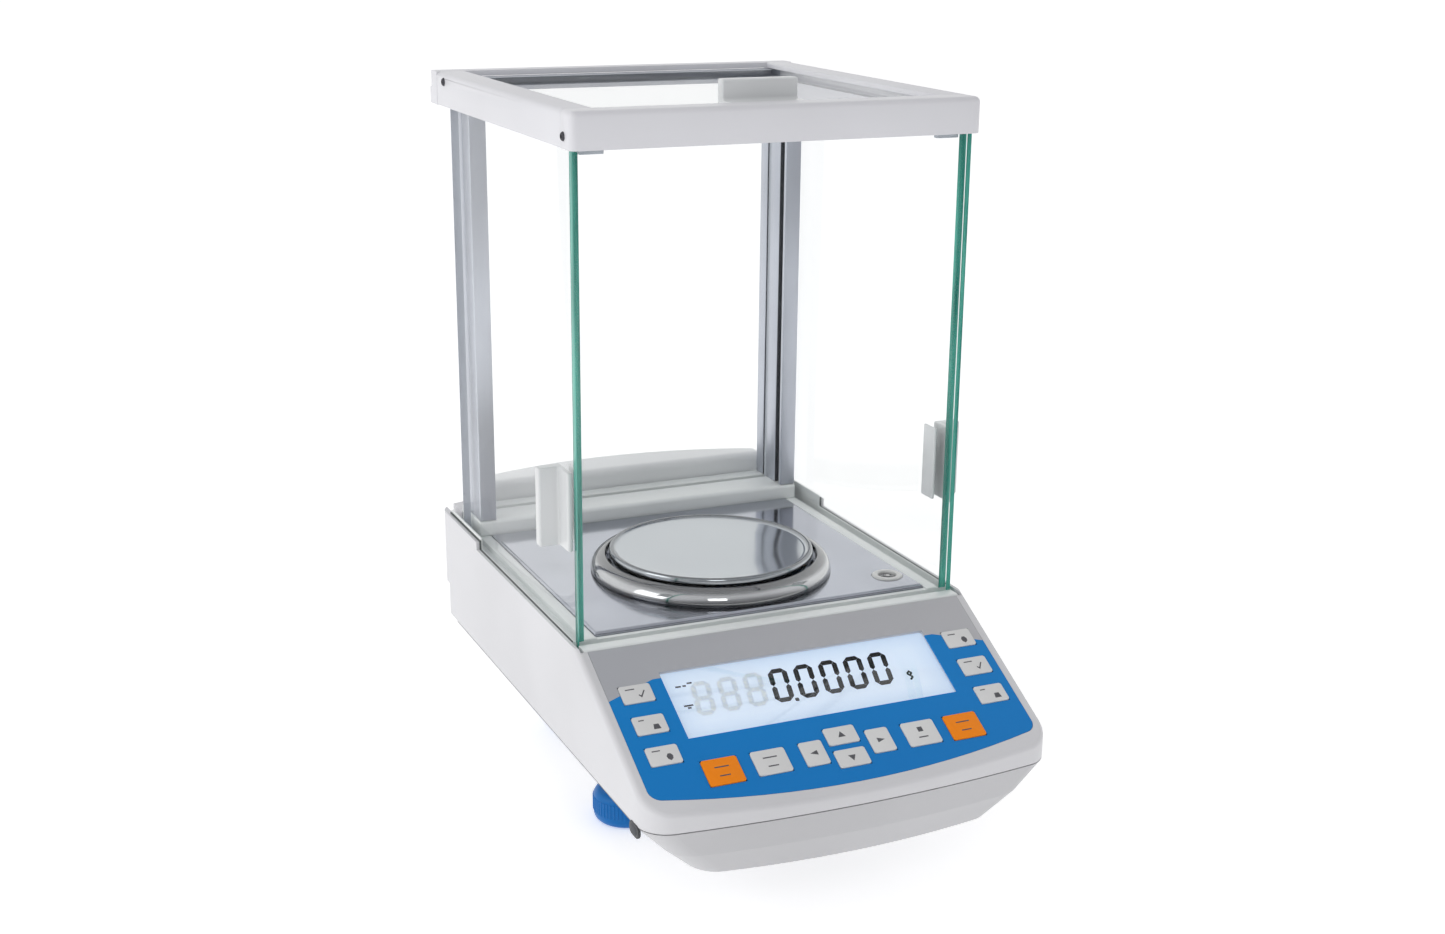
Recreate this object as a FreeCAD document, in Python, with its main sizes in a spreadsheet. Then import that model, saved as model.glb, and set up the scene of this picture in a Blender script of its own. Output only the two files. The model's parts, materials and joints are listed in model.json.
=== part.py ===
import FreeCAD, Part
import math
import os
import re

import Sketcher

# Analytical balance with a glass draft shield, in millimetres.
# +Z is up, +X is the user's right, -Y faces the user.
# The origin is on the bench, under the middle of the balance.

DIMENSIONS = {
    # housing in plan: bowed nose in front, bowed tail behind
    "half_width": 98.0,
    "nose_corner": 153.0,
    "nose_middle": 160.0,
    "tail_corner": 140.0,
    "tail_middle": 160.0,
    "tail_step": 127.6,
    "wall": 3.0,
    # heights above the bench
    "tray_bottom": 35.0,
    "tray_crease": 47.0,
    "seam_height": 60.0,
    "tail_bottom": 77.0,
    "deck_height": 107.0,
    "floor_height": 113.0,
    "rim_height": 112.0,
    "rim_rear_height": 116.0,
    "ledge_height": 120.0,
    "frame_bottom": 328.0,
    "frame_top": 344.0,
    # display panel
    "panel_back": 72.5,
    "panel_top": 111.1,
    "panel_tilt": 27.4,
    "panel_half_width": 93.2,
    "panel_side_length": 83.0,
    "panel_mid_length": 93.0,
    "overlay_thickness": 0.9,
    "lcd_half_width": 66.0,
    "lcd_back": 17.5,
    "lcd_front": 55.5,
    "key_thickness": 1.6,
    "key_proud": 0.5,
    "key_travel": 0.5,
    "key_gap": 0.2,
    "rim_step": 76.0,
    "rail_outer": 95.8,
    # draft shield
    "glass_thickness": 4.0,
    "glass_half_width": 94.4,
    "front_glass_face": 65.0,
    "glass_gap": 0.3,
    "door_length": 170.0,
    "door_bottom": 109.4,
    "door_top": 332.5,
    "column_width": 8.6,
    "column_depth": 31.0,
    "column_front": 95.5,
    "column_outer": 89.6,
    "frame_half_width": 96.5,
    "frame_front": 69.0,
    "frame_rear": 135.7,
    "rail_width": 14.5,
    "front_rail_depth": 12.0,
    "rear_rail_depth": 11.7,
    "rear_rail_bottom": 334.0,
    "top_glass_bottom": 337.0,
    "screw_radius": 1.2,
    "screw_depth": 1.6,
    "screw_head_radius": 2.0,
    "screw_head_height": 1.0,
    # door handles
    "handle_length": 36.0,
    "handle_plate_width": 17.5,
    "handle_plate_thickness": 2.5,
    "handle_wing": 9.0,
    "handle_wing_thickness": 5.6,
    "handle_low": 153.5,
    # weighing pan, centred over the load cell
    "pan_radius": 50.0,
    "pan_centre": 5.6,
    "pan_height": 123.0,
    "ring_radius": 59.0,
    "spindle_radius": 3.0,
    # levelling feet
    "foot_radius": 16.5,
    "foot_height": 16.0,
    "foot_side": 55.0,
    "foot_rear_side": 36.0,
    "foot_front": 20.0,
    "foot_rear": 90.0,
    "stud_radius": 4.0,
    "stud_clearance": 0.05,
    # bubble level
    "level_side": 74.0,
    "level_front": 39.5,
    "level_radius": 7.5,
}

doc = FreeCAD.newDocument("analytical_balance")
sheet = doc.addObject("Spreadsheet::Sheet", "Dims")
for row, (alias, number) in enumerate(DIMENSIONS.items(), start=1):
    sheet.set(f"A{row}", alias)
    sheet.set(f"B{row}", str(number))
    sheet.setAlias(f"B{row}", alias)
doc.recompute()

ALIAS = re.compile(r"\b(" + "|".join(DIMENSIONS) + r")\b")
X_AXIS = FreeCAD.Vector(1, 0, 0)
Y_AXIS = FreeCAD.Vector(0, 1, 0)
Z_AXIS = FreeCAD.Vector(0, 0, 1)
TINY = 0.1
nodes = []


def size(alias):
    """The number that a sheet cell holds."""
    return float(sheet.get(alias))


def bind(piece, **cells):
    """Bind properties to sheet formulas; a double underscore in a name is a dot."""
    for name, formula in cells.items():
        piece.setExpression(name.replace("__", "."), ALIAS.sub(r"Dims.\1", str(formula)))
    return piece


def place(piece, x, y, z):
    """Put a piece's own origin at a point given by three formulas."""
    return bind(piece, Placement__Base__x=x, Placement__Base__y=y, Placement__Base__z=z)


def node(piece, label):
    """Mark a finished piece as a sub-part that gets a file of its own."""
    piece.Label = label
    nodes.append(piece)
    return piece


def box(name, length, width, height, x, y, z):
    """A block with its low corner at x, y, z."""
    piece = doc.addObject("Part::Box", name)
    bind(piece, Length=length, Width=width, Height=height)
    return place(piece, x, y, z)


def cylinder(name, radius, height, x, y, z, axis=Z_AXIS):
    """A rod that starts at x, y, z and runs along an axis."""
    piece = doc.addObject("Part::Cylinder", name)
    bind(piece, Radius=radius, Height=height)
    piece.Placement.Rotation = FreeCAD.Rotation(Z_AXIS, axis)
    return place(piece, x, y, z)


def cut(name, base, *tools):
    """A base with every tool taken away."""
    tool = tools[0] if len(tools) == 1 else fuse(name + "_tools", *tools)
    piece = doc.addObject("Part::Cut", name)
    piece.Base = base
    piece.Tool = tool
    return piece


def fuse(name, *pieces):
    """Pieces joined into one solid."""
    piece = doc.addObject("Part::MultiFuse", name)
    piece.Shapes = list(pieces)
    return piece


def group(name, pieces):
    """Separate solids that share one node."""
    piece = doc.addObject("Part::Compound", name)
    piece.Links = list(pieces)
    return piece


def rounded(name, base, radius, wanted):
    """A base with the edges that wanted(edge) picks rounded to a radius."""
    doc.recompute()
    picked = [i for i, edge in enumerate(base.Shape.Edges, start=1) if wanted(edge)]
    piece = doc.addObject("Part::Fillet", name)
    piece.Base = base
    piece.Edges = [(i, radius, radius) for i in picked]
    return piece


def along(axis):
    """A test for straight edges that run along an axis."""
    def wanted(edge):
        if not isinstance(edge.Curve, Part.Line):
            return False
        return abs(edge.Curve.Direction.dot(axis)) > 0.999
    return wanted


def at_height(low, high):
    """A test for edges that lie wholly between two heights."""
    def wanted(edge):
        bounds = edge.BoundBox
        return bounds.ZMin > low - TINY and bounds.ZMax < high + TINY
    return wanted


def solid_node(label, shape, placement=FreeCAD.Placement()):
    """A sub-part whose shape is worked out by code."""
    piece = doc.addObject("Part::Feature", label)
    piece.Shape = shape
    piece.Placement = placement
    return node(piece, label)


def sketch(body, name, plane, corners):
    """A closed outline of straight lines, each corner held by two sheet formulas."""
    outline = body.newObject("Sketcher::SketchObject", name)
    planes = body.Origin.OriginFeatures
    outline.AttachmentSupport = [(next(p for p in planes if p.Role == plane), "")]
    outline.MapMode = "FlatFace"
    count = len(corners)
    start = [FreeCAD.Vector(math.cos(2 * math.pi * i / count), math.sin(2 * math.pi * i / count), 0)
             for i in range(count)]
    for i in range(count):
        outline.addGeometry(Part.LineSegment(start[i], start[(i + 1) % count]), False)
    for i in range(count):
        outline.addConstraint(Sketcher.Constraint("Coincident", i, 2, (i + 1) % count, 1))
    for i, corner in enumerate(corners):
        for kind, formula in zip(("DistanceX", "DistanceY"), corner):
            index = outline.addConstraint(Sketcher.Constraint(kind, -1, 1, i, 1, start[i].x))
            outline.renameConstraint(index, f"{kind}{i}")
            outline.setExpression(f"Constraints.{kind}{i}", ALIAS.sub(r"Dims.\1", str(formula)))
    return outline


def pad(label, plane, corners, length):
    """A body made by padding an outline both ways from its plane."""
    body = doc.addObject("PartDesign::Body", label)
    outline = sketch(body, label + "_outline", plane, corners)
    feature = body.newObject("PartDesign::Pad", label + "_pad")
    feature.Profile = outline
    feature.Midplane = True
    bind(feature, Length=length)
    return body


def revolve(label, corners):
    """A body turned about its own vertical axis from a half section."""
    body = doc.addObject("PartDesign::Body", label)
    outline = sketch(body, label + "_section", "XZ_Plane", corners)
    feature = body.newObject("PartDesign::Revolution", label + "_turn")
    feature.Profile = outline
    feature.ReferenceAxis = (outline, ["V_Axis"])
    feature.Angle = 360.0
    return body


# ---------------------------------------------------------------- housing

def plan_wire(inset, height, half_width=None, nose=0.0, tail=0.0):
    """The housing's plan outline at a height, with bowed nose and tail.

    inset moves every side inwards; nose and tail move the two ends further in.
    """
    half = (half_width or size("half_width")) - inset
    front = -size("nose_corner") + inset + nose
    front_mid = -size("nose_middle") + inset + nose
    rear = size("tail_corner") - inset - tail
    rear_mid = size("tail_middle") - inset - tail
    front_left = FreeCAD.Vector(-half, front, height)
    front_right = FreeCAD.Vector(half, front, height)
    rear_right = FreeCAD.Vector(half, rear, height)
    rear_left = FreeCAD.Vector(-half, rear, height)
    edges = [
        Part.Arc(front_left, FreeCAD.Vector(0, front_mid, height), front_right).toShape(),
        Part.LineSegment(front_right, rear_right).toShape(),
        Part.Arc(rear_right, FreeCAD.Vector(0, rear_mid, height), rear_left).toShape(),
        Part.LineSegment(rear_left, front_left).toShape(),
    ]
    return Part.Wire(edges)


def prism(wire, height):
    """A wire's flat face raised by a height."""
    return Part.Face(wire).extrude(FreeCAD.Vector(0, 0, height))


def upright_edges(shape):
    """The edges of a shape that stand straight up."""
    return [edge for edge in shape.Edges if along(Z_AXIS)(edge)]


def block(x0, x1, y0, y1, z0, z1):
    """A plain block between two corners."""
    return Part.makeBox(x1 - x0, y1 - y0, z1 - z0, FreeCAD.Vector(x0, y0, z0))


def panel_placement():
    """The sloped display panel's own frame: x right, y up the slope, z outwards."""
    base = FreeCAD.Vector(0, -size("panel_back"), size("panel_top"))
    return FreeCAD.Placement(base, FreeCAD.Rotation(X_AXIS, size("panel_tilt")))


def panel_outline(inset, low, high):
    """The keypad panel's outline as a slab between two depths in the panel's frame."""
    half = size("panel_half_width") - inset
    side = -size("panel_side_length") + inset
    middle = -size("panel_mid_length") + inset
    left_back = FreeCAD.Vector(-half, -inset, low)
    right_back = FreeCAD.Vector(half, -inset, low)
    right_front = FreeCAD.Vector(half, side, low)
    left_front = FreeCAD.Vector(-half, side, low)
    edges = [
        Part.LineSegment(left_back, right_back).toShape(),
        Part.LineSegment(right_back, right_front).toShape(),
        Part.Arc(right_front, FreeCAD.Vector(0, middle, low), left_front).toShape(),
        Part.LineSegment(left_front, left_back).toShape(),
    ]
    slab = prism(Part.Wire(edges), high - low)
    corners = [edge for edge in upright_edges(slab) if edge.BoundBox.YMax < -PANEL_CORNER]
    return slab.makeFillet(PANEL_CORNER, corners)


PANEL_CORNER = 6.0
BROW_ROUND = 2.5
SEAM_GAP = 0.5
SHELL_CORNER = 14.0
GROOVE_INNER = size("glass_half_width") - size("glass_thickness") - size("glass_gap")
GROOVE_OUTER = size("glass_half_width") + size("glass_gap")

# Keys on the panel: name, centre x, centre y down the slope, width, length.
SIDE_KEY_WIDTH = 14.6
SIDE_KEY_LENGTH = 10.0
LEFT_KEYS = (-79.8, (-27.4, -44.9, -62.0))
RIGHT_KEYS = (81.6, (-25.8, -43.0, -60.0))
KEYS = [(f"key_{side}_{i}", x, y, SIDE_KEY_WIDTH, SIDE_KEY_LENGTH)
        for side, (x, rows) in (("left", LEFT_KEYS), ("right", RIGHT_KEYS))
        for i, y in enumerate(rows, start=1)]
KEYS += [
    ("key_tare_left", -57.6, -75.3, 16.6, 13.8),
    ("key_mode", -35.0, -75.0, 16.0, 13.0),
    ("key_arrow_left", -14.6, -74.8, 11.0, 13.0),
    ("key_arrow_up", 1.4, -68.0, 15.0, 9.4),
    ("key_arrow_down", 1.4, -80.4, 15.0, 9.4),
    ("key_arrow_right", 18.0, -74.2, 11.0, 13.0),
    ("key_print", 38.3, -74.4, 16.0, 13.2),
    ("key_tare_right", 60.0, -74.8, 16.6, 13.8),
]


def key_slab(width, length, x, y, low, high):
    """A block in the panel's frame, centred on a key."""
    return block(x - width / 2, x + width / 2, y - length / 2, y + length / 2, low, high)


def on_panel_plane(edge):
    """Whether an edge lies in the plane of the sloped face."""
    inverse = panel_placement().inverse()
    return all(abs(inverse.multVec(vertex.Point).z) < 0.01 for vertex in edge.Vertexes)


def upper_housing():
    """The outer shell: side walls, sloped nose, deck under the chamber and closed tail."""
    wall = size("wall")
    seam = size("seam_height")
    rim = size("rim_height")
    rear_rim = size("rim_rear_height")
    deck = size("deck_height")
    half = size("half_width")
    back = size("panel_back")
    tail_step = size("tail_step")
    rim_step = size("rim_step")
    shell = prism(plan_wire(0, seam), rear_rim - seam)
    shell = shell.makeFillet(SHELL_CORNER, upright_edges(shell))
    far = 300.0
    above_panel = block(-far, far, -far, far, 0, far)
    above_panel.Placement = panel_placement()
    shell = shell.cut(above_panel)
    shell = shell.cut(block(-far, far, -back - far, rim_step, rim, far))
    brow = [edge for edge in shell.Edges
            if on_panel_plane(edge) and edge.BoundBox.ZMax < rim + TINY
            and (edge.BoundBox.XLength < 2 * half - 1 or edge.BoundBox.YMin < -back - 20)]
    shell = shell.makeFillet(BROW_ROUND, brow)
    # chamber recess, down to the deck
    side = half - 1.6
    shell = shell.cut(block(-side, side, -back, tail_step, deck, far))
    # paths for the side doors through the tail
    for sign in (-1, 1):
        low, high = sorted((sign * GROOVE_INNER, sign * GROOVE_OUTER))
        shell = shell.cut(block(low, high, tail_step - 1, far, deck + 1.8, far))
    # the tail overhangs the tray
    shell = shell.cut(block(-far, far, tail_step, far, seam - 1, size("tail_bottom")))
    # hollow inside
    hollow = prism(plan_wire(wall, seam - 1), deck - wall - seam + 1)
    hollow = hollow.makeFillet(SHELL_CORNER - wall, upright_edges(hollow))
    under_panel = block(-far, far, -far, 0, -PANEL_WALL, far)
    under_panel.Placement = panel_placement()
    hollow = hollow.cut(under_panel)
    hollow = hollow.cut(block(-far, far, tail_step - wall, far, seam - 2, size("tail_bottom") + wall))
    hollow = hollow.cut(block(-INLET_HALF_WIDTH - wall, INLET_HALF_WIDTH + wall,
                              INLET_WALL - wall, far, seam, far))
    shell = shell.cut(hollow)
    # recess, key pockets and display opening in the sloped face
    recess = panel_outline(-0.15, -size("overlay_thickness"), 5.0)
    pocket_floor = -size("key_travel") - size("key_thickness") + size("key_proud") - size("key_gap")
    tools = [recess]
    for _name, x, y, width, length in KEYS:
        tools.append(key_slab(width + 0.6, length + 0.6, x, y, pocket_floor, 1))
    lcd = size("lcd_half_width")
    tools.append(block(-lcd, lcd, -size("lcd_front"), -size("lcd_back"), -WINDOW_DEPTH, 1))
    tools.append(block(-lcd + 2, lcd - 2, -size("lcd_front") + 2, -size("lcd_back") - 2,
                       -PANEL_WALL - 1, 1))
    for tool in tools:
        tool.Placement = panel_placement()
        shell = shell.cut(tool)
    # flat bay with the sockets in the tail
    shell = shell.cut(block(-INLET_HALF_WIDTH, INLET_HALF_WIDTH, INLET_WALL, far,
                            INLET_BOTTOM, INLET_TOP))
    for name, x, width, height in SOCKETS:
        z = SOCKET_HEIGHT - height / 2
        shell = shell.cut(block(x - width / 2, x + width / 2, INLET_WALL - wall - 1, INLET_WALL + 1,
                                z, z + height))
    # holes for the spindle and for the bubble level
    pan = FreeCAD.Vector(0, size("pan_centre"), deck - 2 * wall)
    shell = shell.cut(Part.makeCylinder(DECK_HOLE, 3 * wall, pan))
    return shell


PANEL_WALL = 4.0
WINDOW_DEPTH = 1.7
DECK_HOLE = 9.0
INLET_HALF_WIDTH = 52.0
INLET_WALL = 146.0
INLET_BOTTOM = 81.0
INLET_TOP = 107.0
SOCKET_HEIGHT = 93.0
# Sockets in the tail: name, centre x, width, height.
SOCKETS = [
    ("power_inlet", -38.0, 12.0, 12.0),
    ("serial_port", -8.0, 31.0, 12.5),
    ("data_port", 27.0, 14.0, 8.0),
]

solid_node("upper_housing", upper_housing())


def base_tray():
    """The lower casing: a shallow tray with walls that lean in and foot bosses."""
    wall = size("wall")
    bottom = size("tray_bottom")
    crease = size("tray_crease")
    seam = size("seam_height")

    def level(height, inset, half_width, nose, tail):
        """One section of the tray, with a flatter tail than the shell's."""
        half = half_width - inset
        front = -size("nose_corner") + inset + nose
        front_mid = -size("nose_middle") + inset + nose
        rear = size("tail_step") - inset - tail
        corner = TRAY_CORNER - inset
        points = [FreeCAD.Vector(-half, front, height), FreeCAD.Vector(half, front, height),
                  FreeCAD.Vector(half, rear, height), FreeCAD.Vector(-half, rear, height)]
        edges = [
            Part.Arc(points[0], FreeCAD.Vector(0, front_mid, height), points[1]).toShape(),
            Part.LineSegment(points[1], points[2]).toShape(),
            Part.LineSegment(points[2], points[3]).toShape(),
            Part.LineSegment(points[3], points[0]).toShape(),
        ]
        face = Part.Face(Part.Wire(edges))
        raised = face.extrude(FreeCAD.Vector(0, 0, 1))
        raised = raised.makeFillet(corner, upright_edges(raised))
        flat = [f for f in raised.Faces if f.BoundBox.ZMax < height + 0.5]
        return flat[0].OuterWire

    def hopper(inset, floor):
        """The tray's outside, or its hollow, from three sections."""
        half = size("half_width")
        wires = [
            level(floor, inset, half - 25, 6.0, 12.0),
            level(crease, inset, half - 12, 1.3, 3.0),
            level(seam - SEAM_GAP, inset, half, 0, 0),
        ]
        return Part.makeLoft(wires, True, True)

    tray = hopper(0, bottom)
    hollow = hopper(wall, bottom + wall)
    tray = tray.cut(hollow)
    for x, y in FOOT_CENTRES:
        boss = Part.makeCylinder(BOSS_RADIUS, BOSS_HEIGHT, FreeCAD.Vector(x, y, bottom))
        tray = tray.fuse(boss)
        bore = Part.makeCylinder(size("stud_radius") + size("stud_clearance"), 2 * BOSS_HEIGHT,
                                 FreeCAD.Vector(x, y, bottom - 1))
        tray = tray.cut(bore)
    return tray.removeSplitter()


TRAY_CORNER = 14.0
BOSS_RADIUS = 9.0
BOSS_HEIGHT = 14.0
FOOT_CENTRES = [(sx * size(side), y)
                for side, y in (("foot_side", -size("foot_front")),
                                ("foot_rear_side", size("foot_rear"))) for sx in (-1, 1)]

solid_node("base_tray", base_tray())


def rear_hood():
    """The raised hood behind the chamber, over the electronics."""
    low = size("rim_rear_height")
    tall = 14.0
    hood = block(-86, 86, 128.5, 170, low, low + tall)
    hood = hood.common(prism(plan_wire(4.0, low - 5), 40))
    hood = hood.makeFillet(HOOD_CORNER, upright_edges(hood))
    crown = [edge for edge in hood.Edges if edge.BoundBox.ZMin > low + tall - TINY]
    return hood.makeFillet(HOOD_CROWN, crown)


HOOD_CORNER = 4.5
HOOD_CROWN = 4.0

solid_node("rear_hood", rear_hood())


def socket(name, x, width, height):
    """A square socket shell that fills its opening in the tail."""
    body = box(name + "_body", width - 0.4, 12, height - 0.4, x - width / 2 + 0.2,
               INLET_WALL - 11.5, SOCKET_HEIGHT - height / 2 + 0.2)
    mouth = box(name + "_mouth", width - 3.5, 8, height - 3.5, x - width / 2 + 1.75,
                INLET_WALL - 7, SOCKET_HEIGHT - height / 2 + 1.75)
    return cut(name + "_shell", body, mouth)


node(socket(*SOCKETS[0]), "power_inlet")
node(group("data_socket_set", [socket(*entry) for entry in SOCKETS[1:]]), "data_sockets")


# ---------------------------------------------------------------- display panel

def keypad_overlay():
    """The printed overlay, with openings for the keys and the display window."""
    overlay = panel_outline(0, -size("overlay_thickness"), 0)
    lcd = size("lcd_half_width")
    overlay = overlay.cut(block(-lcd, lcd, -size("lcd_front"), -size("lcd_back"), -2, 1))
    for _name, x, y, width, length in KEYS:
        overlay = overlay.cut(key_slab(width + 0.4, length + 0.4, x, y, -2, 1))
    return overlay


solid_node("keypad_overlay", keypad_overlay(), panel_placement())


def on_panel(piece):
    """Move a piece that is drawn in the panel's frame to its place on the slope."""
    piece.Placement = panel_placement()
    return piece


for name, x, y, width, length in KEYS:
    cap = box(name + "_block", width, length, "key_thickness", x - width / 2, y - length / 2,
              "key_proud - key_thickness")
    sides = rounded(name + "_sides", cap, 1.4, along(Z_AXIS))
    top = rounded(name + "_top", sides, 0.35, at_height(size("key_proud"), size("key_proud")))
    node(on_panel(top), name)

lcd_width = "2 * lcd_half_width"
window = box("window_block", lcd_width + " - 0.2", "lcd_front - lcd_back - 0.2", 1.4,
             "-lcd_half_width + 0.1", "-lcd_front + 0.1", -1.65)
node(on_panel(rounded("window_sides", window, 0.8, along(Z_AXIS))), "display_window")

module = box("module_block", "2 * (lcd_half_width - 2.3)", "lcd_front - lcd_back - 4.6", 5.0,
             "-lcd_half_width + 2.3", "-lcd_front + 2.3", -6.8)
node(on_panel(rounded("module_sides", module, 0.6, along(Z_AXIS))), "display_module")

board = box("display_board_plate", 172, 66, 1.6, -86, -76, -8.6)
board_pocket = cylinder("display_board_hole", 1.6, 4, 82, -10, -10)
node(on_panel(cut("display_board_cut", board, board_pocket)), "display_board")


# ---------------------------------------------------------------- chamber floor

def mirrored(name, piece):
    """The same piece on the other side of the middle plane."""
    copy = doc.addObject("Part::Mirroring", name)
    copy.Source = piece
    copy.Normal = X_AXIS
    return copy


rail_inner = "glass_half_width - 10.1"
rail = box("rail_strip", "rail_outer - (" + rail_inner + ")", "tail_step + 60.2",
           "rim_height - deck_height - 0.1", rail_inner, -60.4, "deck_height + 0.1")
rail_lip = box("rail_lip", "rail_outer - glass_half_width - glass_gap",
               "tail_step - rim_step - 0.2", 10.5, "glass_half_width + glass_gap", "rim_step",
               "deck_height + 0.5")
rail_groove = box("rail_groove", "glass_thickness + 2 * glass_gap", 200, 5,
                  "glass_half_width - glass_thickness - glass_gap", -70, "door_bottom - 0.4")
lip_edges = rounded("rail_lip_round", rail_lip, 0.4, along(Y_AXIS))
right_rail = cut("rail_right_cut", fuse("rail_right_body", rail, lip_edges), rail_groove)
node(right_rail, "door_rail_right")
node(mirrored("rail_left_copy", right_rail), "door_rail_left")

sill = box("sill_block", "2 * (glass_half_width + 0.3)", 14.6, "floor_height - deck_height - 1.6",
           "-glass_half_width - 0.3", "-panel_back + 0.6", "deck_height + 0.1")
sill_soft = rounded("sill_soft", sill, 1.2, lambda edge: along(X_AXIS)(edge)
                    and edge.BoundBox.ZMin > size("deck_height") + 2)
sill_groove = box("sill_groove", "2 * glass_half_width + 10", "glass_thickness + 0.2", 10,
                  "-glass_half_width - 5", "-front_glass_face - 0.1", "deck_height + 1")
sill_trim = [box("sill_trim_" + side, 30, 10, 20, x, -60.7, "deck_height - 1")
             for side, x in (("left", "-glass_half_width + 10.4 - 30"),
                             ("right", "glass_half_width - 10.4"))]
node(cut("sill_cut", sill_soft, sill_groove, *sill_trim), "front_sill")

floor_half = "glass_half_width - 10.4"
plate = box("floor_block", "2 * (" + floor_half + ")", 151.4, "floor_height - deck_height - 0.1",
            "-(" + floor_half + ")", -56.8, "deck_height + 0.1")
plate_soft = rounded("floor_soft", plate, 1.6, at_height(size("floor_height"),
                                                         size("floor_height")))
plate_under = box("floor_under", "2 * (" + floor_half + ") - 2.4", 149.0,
                  "floor_height - deck_height - 1.3", "-(" + floor_half + ") + 1.2", -55.6,
                  "deck_height + 0.1")
pan_hole = cylinder("floor_pan_hole", "spindle_radius + 3", 20, 0, "pan_centre", "deck_height")
level_hole = cylinder("floor_level_hole", "level_radius + 0.2", 20, "level_side",
                      "-level_front", "deck_height")
node(cut("floor_cut", plate_soft, plate_under, pan_hole, level_hole), "floor_plate")

level_body = cylinder("level_body", "level_radius", "floor_height - deck_height + 0.7",
                      "level_side", "-level_front", "deck_height + 0.1")
level_round = rounded("level_round", level_body, 0.5,
                      at_height(size("floor_height") + 0.8, size("floor_height") + 0.8))
level_bore = cylinder("level_bore", "level_radius - 2.3", 10, "level_side", "-level_front",
                      "deck_height + 2.1")
node(cut("level_ring_cut", level_round, level_bore), "level_housing")
vial = cylinder("level_vial_body", "level_radius - 2.4", 4.1, "level_side", "-level_front",
                "deck_height + 2.2")
node(rounded("level_vial_dome", vial, 0.6, at_height(size("deck_height") + 6.3,
                                                     size("deck_height") + 6.3)), "level_vial")

ledge_low = box("ledge_low", "2 * (" + rail_inner + ") - 0.2", 29.4, 6, "-(" + rail_inner + ") + 0.1",
                "column_front", "deck_height + 0.1")
ledge_top = box("ledge_top", "2 * (column_outer + 0.2)", "column_depth + 1",
                "ledge_height - rim_height - 0.1", "-column_outer - 0.2", "column_front - 0.4",
                "rim_height + 0.1")
ledge_soft = rounded("ledge_soft", ledge_top, 2.0, lambda edge: edge.BoundBox.YMax < size("column_front")
                     and along(X_AXIS)(edge) and edge.BoundBox.ZMin > size("ledge_height") - 1)
glass_slot = box("ledge_glass_slot", 164.2, "glass_thickness + 0.2", 10, -82.1,
                 "column_front + 18.5", "ledge_height - 3")
node(cut("ledge_cut", fuse("ledge_body", ledge_low, ledge_soft), glass_slot), "rear_ledge")


# ---------------------------------------------------------------- draft shield

front_pane = box("front_pane", "2 * glass_half_width", "glass_thickness",
                 "frame_bottom - deck_height + 1.8", "-glass_half_width", "-front_glass_face",
                 "deck_height + 1.1")
node(rounded("front_pane_edges", front_pane, 0.4, along(Z_AXIS)), "front_glass")

rear_pane = box("rear_pane", 163.8, "glass_thickness", "rear_rail_bottom - ledge_height + 2.8",
                -81.9, "column_front + 18.6", "ledge_height - 2.9")
node(rounded("rear_pane_edges", rear_pane, 0.4, along(Z_AXIS)), "rear_glass")

# Slots in a column's inner face, rear one first, each as two distances from its front.
COLUMN_SLOTS = ((18.4, 22.7), (2.5, 7.5))
inner = "column_outer - column_width"
slot_floor = "column_outer - column_width + 3.6"
profile = [("column_outer", "column_front"), ("column_outer", "column_front + column_depth"),
           (inner, "column_front + column_depth")]
for low, high in COLUMN_SLOTS:
    far_side = f"column_front + {high}"
    near_side = f"column_front + {low}"
    profile += [(inner, far_side), (slot_floor, far_side), (slot_floor, near_side),
                (inner, near_side)]
profile += [(inner, "column_front")]
column = pad("column_extrusion", "XY_Plane", profile, "frame_bottom - ledge_height - 0.2")
bind(column, Placement__Base__z="(frame_bottom + ledge_height) / 2")
right_column = rounded("column_right_soft", column, 0.5, lambda edge: along(Z_AXIS)(edge)
                       and (abs(edge.BoundBox.XMax - size("column_outer")) < TINY))
node(right_column, "column_right")
node(mirrored("column_left_copy", right_column), "column_left")

rail_height = "frame_top - frame_bottom"


def side_rail():
    """The right-hand rail of the top frame, with its two glass grooves."""
    bar = box("top_rail_bar", "rail_width", "frame_rear + frame_front - rear_rail_depth"
              " - front_rail_depth - 0.2", rail_height,
              "frame_half_width - rail_width", "-frame_front + front_rail_depth + 0.1",
              "frame_bottom")
    soft = rounded("top_rail_soft", bar, 2.5, lambda edge: along(Y_AXIS)(edge)
                   and edge.BoundBox.ZMin > size("frame_top") - 1
                   and edge.BoundBox.XMax > size("frame_half_width") - 1)
    low_soft = rounded("top_rail_soft_inner", soft, 1.0, lambda edge: along(Y_AXIS)(edge)
                       and edge.BoundBox.ZMin > size("frame_top") - 0.5
                       and edge.BoundBox.XMax < size("frame_half_width") - 10)
    door_groove = box("top_rail_door_groove", "glass_thickness + 2 * glass_gap", 400,
                      "door_top - frame_bottom + 1.4",
                      "glass_half_width - glass_thickness - glass_gap", -200, "frame_bottom - 1")
    lid_groove = box("top_rail_lid_groove", 8, 400, "glass_thickness + 2 * glass_gap", 77.9, -200,
                     "top_glass_bottom - glass_gap")
    return cut("top_rail_cut", low_soft, door_groove, lid_groove, screw_bore("rear", 1))


def screw_bore(end, sign):
    """The hole for one frame screw, on the right for +1 or on the left for -1."""
    y, z = FRAME_SCREWS[end]
    side = "right" if sign > 0 else "left"
    return cylinder(f"screw_bore_{end}_{side}", "screw_radius + 0.1", 4,
                    f"{sign} * (frame_half_width - screw_depth - 0.1)", y, z, sign * X_AXIS)


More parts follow.
